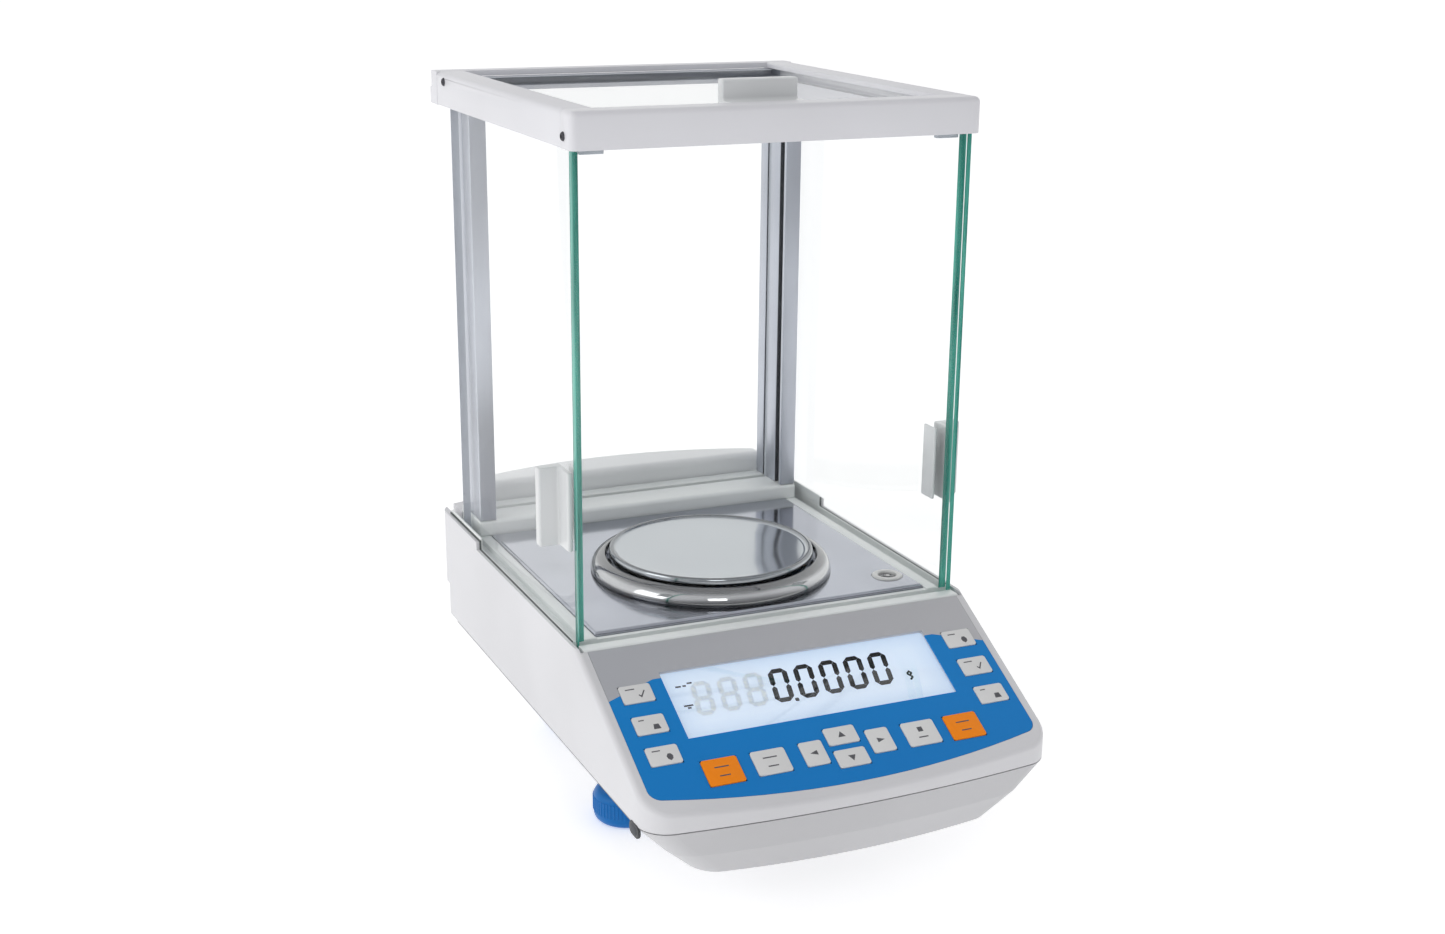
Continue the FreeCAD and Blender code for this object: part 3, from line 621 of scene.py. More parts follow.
class Finish(Enum):
    """The finishes that the balance is made in."""

    HOUSING = Plastic("housing_plastic", (0.70, 0.70, 0.72), 0.45)
    # Painted light: the rear hood's plastic is the housing plastic painted lighter for the light
    # that falls on it.
    HOOD = Plastic("hood_plastic", (0.90, 0.91, 0.92), 0.40)
    TRAY = Plastic("tray_plastic", (0.575, 0.575, 0.59), 0.48)
    FRAME = Plastic("frame_paint", (0.72, 0.72, 0.75), 0.40, 0.0009)
    RAIL = Plastic("rail_plastic", (0.86, 0.89, 0.885), 0.38)
    HANDLE = Plastic("handle_plastic", (0.72, 0.735, 0.74), 0.30, coat=0.2)
    KEY_GREY = Plastic("key_grey", (0.76, 0.76, 0.755), 0.45, 0.0005, gloss=0.25)
    KEY_ORANGE = Plastic("key_orange", (1.0, 0.27, 0.004), 0.45, 0.0005, gloss=0.2)
    FOOT = Plastic("foot_blue", (0.001, 0.16, 0.50), 0.36, gloss=0.25)
    DARK = Plastic("dark_plastic", (0.05, 0.052, 0.056), 0.5)
    BOARD = Plastic("circuit_board", (0.02, 0.16, 0.06), 0.5)
    WHITE = Plastic("level_white", (0.70, 0.70, 0.69), 0.35, coat=0.3)
    FLUID = Plastic("level_fluid", (0.02, 0.022, 0.03), 0.08, coat=0.8)
    FLOOR = Metal("floor_steel", (0.47, 0.49, 0.55), 0.10, (1, 0.03, 1))
    # Painted light: the pan's tones paint a dark underside, a dark rim band and a dark lip crest
    # as reflection and shade.
    PAN = TurnedSteel("pan_steel", (
        (119.0, 0.15), (121.0, 0.5), (122.6, 0.25), (123.02, 0.57), (123.3, 0.5), (124.2, 0.22)),
        0.09, (0.90, 0.95, 1.0))
    # Painted light: the ring's tones paint a shaded lower edge, a bright reflection band and a
    # darker top under the pan.
    RING = TurnedSteel("ring_chrome", (
        (113.0, 0.06), (114.6, 0.16), (116.2, 0.58), (118.2, 0.62), (119.6, 0.30), (121.0, 0.22)),
        0.05)
    COLUMN = Metal("column_aluminium", (0.56, 0.585, 0.65), 0.34, (1, 1, 0.02), metallic=0.75)
    SLOT = Plastic("slot_shadow", (0.05, 0.055, 0.065), 0.6)
    SEAM = Plastic("seam_shadow", (0.13, 0.14, 0.14), 0.7, gloss=0.1)
    STEEL = Metal("screw_steel", (0.09, 0.09, 0.10), 0.5)
    CELL = Metal("cell_aluminium", (0.60, 0.61, 0.62), 0.35)
    MAGNET = Metal("magnet_steel", (0.25, 0.25, 0.27), 0.4)
    BRASS = Metal("weight_brass", (0.70, 0.50, 0.22), 0.25)
    BLACK = Plastic("black_plastic", (0.02, 0.02, 0.022), 0.45)
    SOCKET = Metal("socket_metal", (0.55, 0.55, 0.57), 0.25)
    GLASS = ClearGlass()
    EDGE = GlassEdge()
    SEAL = Plastic("door_seal", (0.48, 0.51, 0.56), 0.35)
    FILM = PrintedFilm()
    DISPLAY = LitDisplay()
    DIGIT = Ink("digit_black", (0.004, 0.005, 0.006), 0.5)
    GHOST = Ink("digit_ghost", (0.74, 0.85, 0.97), 0.4)
    PRINT = Ink("print_dark", (0.10, 0.10, 0.11), 0.5)

    def material(self) -> bpy.types.Material:
        """The finish's material, built once."""
        found = bpy.data.materials.get(FINISH_PREFIX + self.value.name)
        return found or self.value.make()


# ---------------------------------------------------------------- mesh kit


def sheet_of(points: Sequence[Point], low: float, high: float, place: Matrix | None = None,
             mesh: bmesh.types.BMesh | None = None) -> bmesh.types.BMesh:
    """Raise a flat outline into a closed slab.

    Args:
        points: the outline, anticlockwise seen from above.
        low: the slab's underside.
        high: its top.
        place: where the slab's frame lies.
        mesh: a mesh to add it to, or none for a new one.

    Returns:
        The mesh.
    """
    mesh = mesh or bmesh.new()
    place = place or Matrix.Identity(4)
    below = [mesh.verts.new(place @ Vector((x, y, low))) for x, y in points]
    above = [mesh.verts.new(place @ Vector((x, y, high))) for x, y in points]
    mesh.faces.new(list(reversed(below)))
    mesh.faces.new(above)
    for i in range(len(points)):
        j = (i + 1) % len(points)
        mesh.faces.new([below[i], below[j], above[j], above[i]])
    return mesh


def millimetres(points: Iterable[Point]) -> list[Point]:
    """Points given in millimetres, in metres."""
    return [(x * MM, y * MM) for x, y in points]


def rectangle(x: float, y: float, width: float, tall: float) -> list[Point]:
    """A rectangle by its lowest corner and its size, anticlockwise."""
    return [(x, y), (x + width, y), (x + width, y + tall), (x, y + tall)]


def lathe(profile: Sequence[Point], centre: Point = (0.0, 0.0), steps: int = 96,
          mesh: bmesh.types.BMesh | None = None) -> bmesh.types.BMesh:
    """Turn a profile about an upright axis into a closed body.

    Args:
        profile: radius and height pairs, in order round the section.
        centre: the axis in plan.
        steps: faces round the axis.
        mesh: a mesh to add it to, or none for a new one.

    Returns:
        The mesh.
    """
    mesh = mesh or bmesh.new()
    rings = []
    for radius, height in profile:
        if radius < NOTHING:
            rings.append([mesh.verts.new((*centre, height))] * steps)
            continue
        turns = [2 * math.pi * i / steps for i in range(steps)]
        rings.append([mesh.verts.new((centre[0] + radius * math.cos(a),
                                      centre[1] + radius * math.sin(a), height)) for a in turns])
    closed = profile[0][0] > NOTHING
    pairs = list(zip(rings, rings[1:] + rings[:1])) if closed else list(zip(rings, rings[1:]))
    for first, second in pairs:
        for i in range(steps):
            j = (i + 1) % steps
            corners = dict.fromkeys([first[i], first[j], second[j], second[i]])
            if len(corners) > 2:
                mesh.faces.new(list(corners))
    bmesh.ops.recalc_face_normals(mesh, faces=mesh.faces)
    return mesh


def rounded_outline(half_x: float, half_y: float, radius: float, steps: int = 6,
                    centre: Point = (0.0, 0.0)) -> list[Point]:
    """A rectangle with round corners.

    Args:
        half_x: half its width.
        half_y: half its length.
        radius: the corners' radius.
        steps: points per corner.
        centre: its middle.

    Returns:
        The outline, anticlockwise.
    """
    points = []
    for quarter, (sx, sy) in enumerate(((1, 1), (-1, 1), (-1, -1), (1, -1))):
        for i in range(steps + 1):
            angle = math.pi / 2 * (quarter + i / steps)
            points.append((centre[0] + sx * (half_x - radius) + radius * math.cos(angle),
                           centre[1] + sy * (half_y - radius) + radius * math.sin(angle)))
    return points


def settled(mesh: bmesh.types.BMesh, name: str) -> bpy.types.Mesh:
    """Turn a mesh under construction into mesh data.

    Args:
        mesh: the finished construction.
        name: the data's name.

    Returns:
        The mesh data.
    """
    data = bpy.data.meshes.new(name)
    bmesh.ops.recalc_face_normals(mesh, faces=mesh.faces)
    mesh.to_mesh(data)
    mesh.free()
    return data


def smooth(data: bpy.types.Mesh, angle: float = 32.0) -> bpy.types.Mesh:
    """Shade a mesh smoothly, but keep its sharp corners.

    Args:
        data: the mesh.
        angle: corners sharper than this stay sharp, in degrees.

    Returns:
        The same mesh.
    """
    data.polygons.foreach_set("use_smooth", [True] * len(data.polygons))
    data.set_sharp_from_angle(angle=math.radians(angle))
    return data


def bevelled(data: bpy.types.Mesh, width: float, segments: int = 3,
             angle: float = 35.0) -> bpy.types.Mesh:
    """Round a mesh's corners with a Bevel modifier and take the result.

    Args:
        data: the mesh, which is used up.
        width: the rounding's width in metres.
        segments: faces across it.
        angle: the corners sharper than this, in degrees, are rounded.

    Returns:
        The rounded mesh.
    """
    carrier = bpy.data.objects.new("carrier", data)
    bpy.context.scene.collection.objects.link(carrier)
    rounding = carrier.modifiers.new("round", "BEVEL")
    rounding.width = width
    rounding.segments = segments
    rounding.limit_method = "ANGLE"
    rounding.angle_limit = math.radians(angle)
    rounding.harden_normals = False
    return smooth(taken(carrier))


def taken(carrier: bpy.types.Object) -> bpy.types.Mesh:
    """The mesh that an object's modifiers give; the object itself goes.

    Args:
        carrier: an object with live modifiers.

    Returns:
        Plain mesh data.
    """
    graph = bpy.context.evaluated_depsgraph_get()
    result = bpy.data.meshes.new_from_object(carrier.evaluated_get(graph))
    bpy.data.objects.remove(carrier)
    return result


class Growth(Graph):
    """A Geometry Nodes tree with named inputs."""

    def __init__(self, name: str, inputs: dict[str, str]) -> None:
        """Make a tree with a geometry input and the named ones.

        Args:
            name: the tree's name.
            inputs: input names and their socket types.
        """
        super().__init__(bpy.data.node_groups.new(name, "GeometryNodeTree"))
        face = self.tree.interface
        face.new_socket("Geometry", in_out="INPUT", socket_type="NodeSocketGeometry")
        face.new_socket("Geometry", in_out="OUTPUT", socket_type="NodeSocketGeometry")
        self.keys = {label: face.new_socket(label, in_out="INPUT", socket_type=kind).identifier
                     for label, kind in inputs.items()}
        self.given = self.tree.nodes.new("NodeGroupInput")
        self.result = self.tree.nodes.new("NodeGroupOutput")

    def wired(self, name: str) -> bpy.types.NodeSocket:
        """The socket that carries a named input."""
        return self.given.outputs[name]

    def close(self, geometry: bpy.types.Node) -> None:
        """End the tree: make instances real and give them their material.

        Args:
            geometry: the node whose first output is the finished geometry.
        """
        real = self.node("GeometryNodeRealizeInstances", None, {0: geometry})
        coated = self.node("GeometryNodeSetMaterial", None,
                           {"Geometry": real, "Material": self.wired("Material")})
        self.feed(self.result.inputs[0], coated)

    def grow(self, start: bpy.types.Mesh, **values: object) -> bpy.types.Mesh:
        """Run the tree on a mesh.

        Args:
            start: the mesh that goes in.
            values: the named inputs, with underscores for spaces.

        Returns:
            The mesh that comes out.
        """
        carrier = bpy.data.objects.new("carrier", start)
        bpy.context.scene.collection.objects.link(carrier)
        modifier = carrier.modifiers.new("grow", "NODES")
        modifier.node_group = self.tree
        for label, value in values.items():
            modifier[self.keys[label.replace("_", " ")]] = value
        return taken(carrier)


# ---------------------------------------------------------------- the frame's pieces


class Shop:
    """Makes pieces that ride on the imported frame."""

    def __init__(self, frame: dict[str, object]) -> None:
        """Take the loaded frame.
        """
        self.nodes: dict[str, bpy.types.Object] = frame["nodes"]
        self.slots = {row["node"]: row["material_slot"] for row in frame["record"]["subparts"]}

    def paint(self, node: str, finish: Finish) -> None:
        """Give a CAD node a finish.

        Args:
            node: the node's name.
            finish: its new finish.
        """
        data = self.nodes[node].data
        data.materials.clear()
        data.materials.append(finish.material())

    def piece(self, name: str, data: bpy.types.Mesh, nodes: Sequence[str],
              finishes: Sequence[Finish] = (), near: str = "") -> bpy.types.Object:
        """Turn mesh data into a piece.

        Args:
            name: the piece's name.
            data: its mesh, in place.
            nodes: the CAD nodes that it stands for, if any.
            finishes: its finishes, in material index order; none keeps the mesh's own.
            near: the node whose body it takes when it stands for none.

        Returns:
            The piece.
        """
        data.name = name
        for finish in finishes:
            data.materials.append(finish.material())
        made = bpy.data.objects.new(name, data)
        bpy.context.scene.collection.objects.link(made)
        host = nodes[0] if nodes else near
        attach(made, self.nodes[host]["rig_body"])
        if nodes:
            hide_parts(*nodes)
        return made

    def merged(self, node: str) -> bmesh.types.BMesh:
        """A CAD node's mesh with its triangles joined into whole faces.

        Args:
            node: the node's name.

        Returns:
            A mesh under construction.
        """
        mesh = bmesh.new()
        mesh.from_mesh(self.nodes[node].data)
        bmesh.ops.remove_doubles(mesh, verts=mesh.verts, dist=MERGE_GAP)
        bmesh.ops.dissolve_limit(mesh, angle_limit=FLAT_ANGLE, verts=mesh.verts,
                                 edges=mesh.edges)
        return mesh

    def softened(self, node: str, finish: Finish, width: float,
                 segments: int = 3) -> bpy.types.Object:
        """A copy of a CAD node with its sharp corners rounded.

        Args:
            node: the node that it stands for.
            finish: its finish.
            width: the rounding's width in metres.
            segments: faces across the rounding.

        Returns:
            The piece.
        """
        mesh = self.merged(node)
        data = bpy.data.meshes.new(node)
        mesh.to_mesh(data)
        mesh.free()
        soft = bevelled(data, width, segments)
        return self.piece(node + "_shape", soft, [node], [finish])


# ---------------------------------------------------------------- housing


@dataclass
class Housing:
    """The moulded body: upper shell, tray, rear hood, rails and the small parts on them."""

    shop: Shop
    edge: float = 0.35 * MM
    seam_span: Point = (95.5 * MM, 96.4 * MM)
    seam_reach: tuple[float, float, float] = (-60.2 * MM, 76.0 * MM, 127.2 * MM)
    seam_heights: Point = (112.1 * MM, 116.8 * MM)
    seam_depth: float = 0.7 * MM
    port_side: float = -98.0 * MM
    port_forward: float = -139.5 * MM
    port_height: float = 57.5 * MM
    port_size: Point = (5.2 * MM, 3.1 * MM)
    plug_share: float = 0.62

    def build(self) -> None:
        """Build every housing piece."""
        self.shop.paint("upper_housing", Finish.HOUSING)
        self.shop.paint("base_tray", Finish.TRAY)
        # Painted light: the rear hood takes a brightened copy of the housing plastic.
        self.shop.paint("rear_hood", Finish.HOOD)
        for node in ("door_rail_left", "door_rail_right", "rear_ledge", "front_sill"):
            self.shop.softened(node, Finish.RAIL, self.edge)
        self.seams()
        self.port()

    def seams(self) -> None:
        """The dark joints between the shell's rims and the door rails, up over the step."""
        front, step, rear = self.seam_reach
        low, high = self.seam_heights
        under, half = self.seam_depth, self.seam_depth / 2
        outline = [(front, low - under), (step + half, low - under), (step + half, high - under),
                   (rear, high - under), (rear, high), (step - half, high), (step - half, low),
                   (front, low)]
        turn = Matrix(((0, 0, 1, 0), (1, 0, 0, 0), (0, 1, 0, 0), (0, 0, 0, 1)))
        inner, outer = self.seam_span
        mesh = sheet_of(outline, inner, outer, turn)
        sheet_of(outline, -outer, -inner, turn, mesh)
        self.shop.piece("rim_seams", settled(mesh, "rim_seams"), [], [Finish.SEAM],
                        near="upper_housing")

    def port(self) -> None:
        """The small oval service port low on the left side, near the nose."""
        half_x, half_y = self.port_size
        outer = rounded_outline(half_x, half_y, half_y * 0.98, 10)
        inner = [(self.plug_share * x, self.plug_share * y) for x, y in outer]
        turn = Matrix.Translation((self.port_side, self.port_forward, self.port_height))
        turn = turn @ Matrix.Rotation(math.radians(-90), 4, "Z")
        turn = turn @ Matrix.Rotation(math.radians(90), 4, "X")
        mesh = sheet_of(outer, -1.0 * MM, 0.35 * MM, turn)
        rim = bevelled(settled(mesh, "port"), 0.3 * MM, 3)
        self.shop.piece("service_port_rim", rim, [], [Finish.DARK], near="base_tray")
        plug = bevelled(settled(sheet_of(inner, 0.1 * MM, 0.5 * MM, turn), "plug"), 0.12 * MM, 2)
        self.shop.piece("service_port_plug", plug, [], [Finish.SLOT], near="base_tray")


# ---------------------------------------------------------------- draft shield


@dataclass
class DraftShield:
    """Glass panes, columns, top frame, screws, guides and door handles."""

    shop: Shop
    arris: float = 0.35 * MM
    band: float = 11.0 * MM
    screw_radius: float = 2.0 * MM
    screw_rise: float = 1.0 * MM
    slot_margin: float = 0.3 * MM
    frame_round: float = 0.8 * MM
    grip_round: float = 0.7 * MM
    guide_round: float = 0.4 * MM
    column_round: float = 0.3 * MM
    facing: float = 0.9
    upward: float = 0.5
    screw_head: tuple[Point, ...] = (
        (0, 0.3), (0.8, 0.3), (0.9, 0.93), (1.2, 1.0), (1.6, 0.78), (1.9, 0.32), (2.0, 0.0),
        (2.0, -0.6), (0, -0.6))
    thin: dict[str, int] = field(default_factory=lambda: {
        "front_glass": 1, "rear_glass": 1, "left_door_glass": 0, "right_door_glass": 0,
        "top_door_glass": 2})

    def build(self) -> None:
        """Build the whole shield."""
        for node, axis in self.thin.items():
            self.pane(node, axis)
        for node in ("column_left", "column_right"):
            self.column(node)
        for side in ("left", "right", "front", "rear"):
            self.shop.softened("top_rail_" + side, Finish.FRAME, self.frame_round)
        for side in ("left", "right", "top"):
            self.shop.softened(side + "_door_handle", Finish.HANDLE, self.grip_round)
        self.shop.softened("front_guides", Finish.SEAL, self.guide_round)
        self.screws()

    def pane(self, node: str, axis: int) -> None:
        """One pane, clear through its faces and green in its ground edges.

        Args:
            node: the pane's CAD node.
            axis: the axis that the pane is thin along; the lid's rear end has an opaque band.
        """
        low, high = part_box(node)
        outline = rectangle(low.x, low.y, high.x - low.x, high.y - low.y)
        mesh = sheet_of(outline, low.z, high.z)
        if axis == 2:
            line = (0, high.y - self.band, 0)
            bmesh.ops.bisect_plane(mesh, geom=mesh.verts[:] + mesh.edges[:] + mesh.faces[:],
                                   plane_co=line, plane_no=(0, 1, 0))
        data = bevelled(settled(mesh, node), self.arris, 2)
        piece = self.shop.piece(node + "_pane", data, [node],
                                [Finish.GLASS, Finish.EDGE, Finish.SEAL])
        for face in piece.data.polygons:
            flat = abs(face.normal[axis]) > self.facing or abs(face.normal.z) > self.upward
            at_back = face.center.y > (high.y - self.band if axis == 2 else (low.y + high.y) / 2)
            if axis == 2:
                face.material_index = 2 if at_back else 0
            elif flat:
                face.material_index = 0
            else:
                face.material_index = 2 if node == "rear_glass" or at_back and axis == 0 else 1

    def column(self, node: str) -> None:
        """An extruded column whose slots are in shadow colour.

        Args:
            node: the column's CAD node.
        """
        piece = self.shop.softened(node, Finish.COLUMN, self.column_round, 2)
        piece.data.materials.append(Finish.SLOT.material())
        low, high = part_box(node)
        for face in piece.data.polygons:
            inside = all(low[i] + self.slot_margin < face.center[i] < high[i] - self.slot_margin
                         for i in (0, 1))
            face.material_index = 1 if inside else 0

    def screws(self) -> None:
        """The button-head screws that hold the frame's side rails."""
        mesh = lathe(millimetres(self.screw_head), steps=30)
        model = bpy.data.objects.new("screw_model", smooth(settled(mesh, "screw"), 40))
        bpy.context.scene.collection.objects.link(model)
        low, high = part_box("frame_screws")
        radius = self.screw_radius
        points = bpy.data.meshes.new("screw_places")
        face = high.x - self.screw_rise
        ends = ((low.y + radius, low.z + radius), (high.y - radius, high.z - radius))
        points.from_pydata([(sx * face, y, z) for sx in (-1, 1) for y, z in ends], [], [])
        tree = self.scatter()
        data = tree.grow(points, Part=model, Outward=(1.0, 0.0, 0.0), Facing=(0.0, 0.0, 0.0),
                         Material=Finish.STEEL.material())
        bpy.data.objects.remove(model)
        self.shop.piece("frame_screw_heads", data, ["frame_screws"])

    @staticmethod
    def scatter() -> Growth:
        """A tree that puts a part on each point, turned to face a direction.

        Returns:
            The tree, with the inputs Part, Outward, Facing and Material.
        """
        tree = Growth("parts_on_points", {
            "Part": "NodeSocketObject", "Outward": "NodeSocketVector",
            "Facing": "NodeSocketVector", "Material": "NodeSocketMaterial"})
        part = tree.node("GeometryNodeObjectInfo", None, {"Object": tree.wired("Part")})
        place = tree.node("GeometryNodeInputPosition")
        out = tree.node("ShaderNodeVectorMath", {"operation": "MULTIPLY_ADD"},
                        {0: place, 1: tree.wired("Outward"), 2: tree.wired("Facing")})
        turn = tree.node("FunctionNodeAlignEulerToVector", {"axis": "Z"}, {"Vector": out})
        put = tree.node("GeometryNodeInstanceOnPoints", None,
                        {"Points": tree.wired("Geometry"), "Instance": part.outputs["Geometry"],
                         "Rotation": turn})
        tree.close(put)
        return tree


# ---------------------------------------------------------------- pan, ring, floor and level


@dataclass
class WeighingUnit:
    """The pan and its ring, the chamber floor and the bubble level."""

    shop: Shop
    centre: Point = (0.0, 5.6 * MM)
    level: Point = (74.0 * MM, -39.5 * MM)
    steps: int = 160

    def build(self) -> None:
        """Build the pan, ring, floor and level."""
        self.turned("weighing_pan_shape", "weighing_pan", Finish.PAN, self.centre, [
            (0, 123.0), (8, 123.0), (20, 123.0), (32, 123.0), (45.3, 123.0), (46.0, 123.06),
            (46.7, 123.3), (47.3, 123.75), (47.9, 124.08), (48.6, 124.2), (49.25, 124.05),
            (49.7, 123.65), (49.93, 123.0), (50.0, 122.2), (50.0, 120.2), (49.85, 119.5),
            (49.5, 119.1), (49.0, 119.0), (48.6, 119.25), (48.4, 119.8), (48.4, 121.6),
            (8, 121.6), (8, 115.5), (3.1, 115.5), (3.1, 118.6), (0, 118.6)])
        self.turned("draft_ring_shape", "draft_ring", Finish.RING, self.centre, [
            (52.0, 113.0), (58.6, 113.0), (58.9, 113.3), (59.0, 113.9), (58.95, 114.8),
            (58.7, 115.9), (58.2, 117.0), (57.4, 118.15), (56.4, 119.15), (55.2, 119.95),
            (53.9, 120.55), (52.9, 120.85), (52.35, 120.95), (52.0, 120.8), (51.9, 120.4),
            (51.9, 113.2)])
        self.shop.paint("floor_plate", Finish.FLOOR)
        self.bubble_level()

    def turned(self, name: str, node: str, finish: Finish, centre: Point,
               profile: Sequence[Point], angle: float = 40.0) -> None:
        """A turned piece.

        Args:
            name: the piece's name.
            node: the CAD node that it stands for, or "" for none.
            finish: its finish.
            centre: its axis in plan.
            profile: its section in millimetres.
            angle: corners sharper than this stay sharp, in degrees.
        """
        mesh = lathe(millimetres(profile), centre, self.steps)
        nodes = [node] if node else []
        self.shop.piece(name, smooth(settled(mesh, name), angle), nodes, [finish],
                        near="level_vial")

    def bubble_level(self) -> None:
        """The round level: a white bezel, a dark vial with a sight ring, and its bubble."""
        self.turned("level_bezel", "level_housing", Finish.WHITE, self.level, [
            (4.5, 112.3), (4.5, 113.3), (4.7, 113.65), (5.1, 113.8), (6.4, 113.8), (7.0, 113.7),
            (7.4, 113.4), (7.5, 113.05), (7.5, 107.1), (5.3, 107.1), (5.3, 112.3)])
        self.turned("level_vial_dome", "level_vial", Finish.FLUID, self.level, [
            (0, 113.2), (1.5, 113.15), (3.0, 112.95), (4.1, 112.6), (4.45, 112.3), (4.45, 109.2),
            (0, 109.2)])
        self.turned("level_sight_ring", "", Finish.PRINT, self.level, [
            (1.9, 113.1), (1.9, 113.22), (2.15, 113.2), (2.15, 113.05)])
        self.turned("level_bubble", "", Finish.WHITE, (self.level[0] + 0.3 * MM, self.level[1]), [
            (0, 113.3), (0.5, 113.28), (0.9, 113.2), (1.1, 113.1), (0, 113.0)])


# ---------------------------------------------------------------- display and keys


class Mark(Enum):
    """What is printed on a key: outlines on a small grid round the key's middle."""

    UP = ([(-2.5, -1.5), (2.5, -1.5), (0, 2.8)],)
    DOWN = ([(-2.5, 1.5), (0, -2.8), (2.5, 1.5)],)
    LEFT = ([(2.2, -1.8), (2.2, 1.8), (-2.8, 0)],)
    RIGHT = ([(-2.2, -1.8), (2.8, 0), (-2.2, 1.8)],)
    TWO_LINES = (rectangle(-4.6, 2.6, 9.2, 0.9), rectangle(-3.4, -3.8, 6.8, 0.9))
    TICK = (rectangle(-6.5, 3.2, 6.0, 0.8),
            [(0.6, -1.6), (2.2, -3.6), (5.6, 1.6), (4.9, 2.0), (2.2, -2.0), (1.0, -0.9)])
    WEIGHT = (rectangle(-6.5, 3.2, 3.5, 0.8),
              [(1.0, -4.2), (5.6, -4.2), (4.9, -0.4), (1.7, -0.4)])
    CLOCK = (rectangle(-6.5, 3.2, 5.3, 0.8),
             [(1.6, -3.2), (3.2, -4.6), (4.9, -3.2), (5.3, -1.2), (4.2, 0.6), (2.4, 0.6),
              (1.2, -1.2)])
    PAGE = (rectangle(-1.6, 0.8, 3.4, 3.6), rectangle(-3.2, -3.8, 6.4, 0.9))


@dataclass
class ControlPanel:
    """The printed film, the lit display with its digits, and the fourteen keys."""

    shop: Shop
    slope: Slope = SLOPE
    ink_depth: float = 0.04 * MM
    corner: float = 1.2 * MM
    key_round: float = 0.3 * MM
    lens_round: float = 0.12 * MM
    face_round: float = 0.05 * MM
    lens_low: float = -1.0 * MM
    mark_grid: float = 0.72 * MM
    marks: dict[str, Mark] = field(default_factory=lambda: {
        "key_left_1": Mark.TICK, "key_left_2": Mark.WEIGHT, "key_left_3": Mark.CLOCK,
        "key_right_1": Mark.CLOCK, "key_right_2": Mark.TICK, "key_right_3": Mark.WEIGHT,
        "key_tare_left": Mark.TWO_LINES, "key_tare_right": Mark.TWO_LINES,
        "key_mode": Mark.TWO_LINES, "key_print": Mark.PAGE, "key_arrow_left": Mark.LEFT,
        "key_arrow_up": Mark.UP, "key_arrow_down": Mark.DOWN, "key_arrow_right": Mark.RIGHT})
    digit_left: float = -19.4 * MM
    digit_pitch: float = 12.5 * MM
    digit_size: Point = (9.4 * MM, 19.0 * MM)
    digit_top: float = 24.9 * MM
    stroke: float = 2.5 * MM
    stroke_gap: float = 0.04 * MM
    slant: float = 0.15
    dot_half: float = 0.95 * MM
    dot_offset: Point = (-2.2 * MM, 0.2 * MM)
    unit_place: Point = (47.2 * MM, -13.2 * MM)
    unit_scale: float = 0.3
    unit_weight: float = 1.7
    sign_tall: float = 0.9
    signs: tuple[tuple[float, float, float], ...] = (
        (-61.0, -26.6, 2.6), (-57.6, -26.6, 1.6), (-55.2, -25.4, 2.4), (-61.0, -37.6, 4.4),
        (-59.6, -38.9, 1.7))
    film_top: float = -1.35 * MM

    def build(self) -> None:
        """Build the film, display and keys."""
        self.shop.paint("keypad_overlay", Finish.FILM)
        self.display()
        self.digits()
        for node, mark in self.marks.items():
            self.key(node, mark)

    def face(self, node: str) -> tuple[list[Point], Point, float, float]:
        """A node's place in the panel's frame.

        Args:
            node: the node's name.

        Returns:
            Its rounded outline, its middle, its underside and its top.
        """
        back = self.slope.matrix().inverted()
        points = [back @ vertex.co for vertex in self.shop.nodes[node].data.vertices]
        low = Vector([min(p[i] for p in points) for i in range(3)])
        high = Vector([max(p[i] for p in points) for i in range(3)])
        middle = ((low.x + high.x) / 2, (low.y + high.y) / 2)
        half = ((high.x - low.x) / 2, (high.y - low.y) / 2)
        return rounded_outline(*half, self.corner, 6, middle), middle, low.z, high.z

    def display(self) -> None:
        """The backlit face and the clear window over it."""
        outline, _, low, high = self.face("display_window")
        place = self.slope.matrix()
        lens = settled(sheet_of(outline, self.lens_low, high, place), "lens")
        self.shop.piece("display_lens", bevelled(lens, self.lens_round, 2),
                        ["display_window"], [Finish.GLASS])
        lit = settled(sheet_of(outline, low, self.film_top, place), "face")
        self.shop.piece("display_face", bevelled(lit, self.face_round, 1), [],
                        [Finish.DISPLAY], near="display_module")

    def bars(self, lit: str, weight: float = 1.0) -> list[list[Point]]:
        """The strokes of one upright digit cell whose origin is its top left corner.

        Args:
            lit: which of the seven strokes a to g are on.
            weight: how heavy the strokes are, against the reading's own.

        Returns:
            One outline per stroke.
        """
        width, tall = self.digit_size
        t = self.stroke * weight
        gap, half, mid = self.stroke_gap, t / 2, -tall / 2
        right, lower = width - t, t - tall
        spots = {
            "a": (t, 0, right, 0), "g": (t, mid + half, right, mid + half),
            "d": (t, lower, right, lower), "f": (0, -t, 0, mid + half),
            "e": (0, mid - half, 0, lower), "b": (right, -t, right, mid + half),
            "c": (right, mid - half, right, lower)}
        outlines = []
        for x0, y0, x1, y1 in (spots[name] for name in lit):
            if y0 == y1:
                y = y0 - half
                outlines.append([(x0 - half + gap, y), (x0 + gap, y - half), (x1 - gap, y - half),
                                 (x1 + half - gap, y), (x1 - gap, y + half),
                                 (x0 + gap, y + half)])
            else:
                x = x0 + half
                outlines.append([(x, y0 + half - gap), (x - half, y0 - gap), (x - half, y1 + gap),
                                 (x, y1 - half + gap), (x + half, y1 + gap),
                                 (x + half, y0 - gap)])
        return outlines

    def ink(self, name: str, outlines: Iterable[Sequence[Point]], finish: Finish, top: float,
            near: str) -> None:
        """Thin printed or liquid-crystal marks.

        Args:
            name: the piece's name.
            outlines: flat outlines in the panel's frame.
            finish: their finish.
            top: the height of the surface that they lie on.
            near: the node whose body they take.
        """
        mesh = bmesh.new()
        for outline in outlines:
            sheet_of(outline, top - self.ink_depth / 2, top + self.ink_depth / 2,
                     self.slope.matrix(), mesh)
        self.shop.piece(name, settled(mesh, name), [], [finish], near=near)

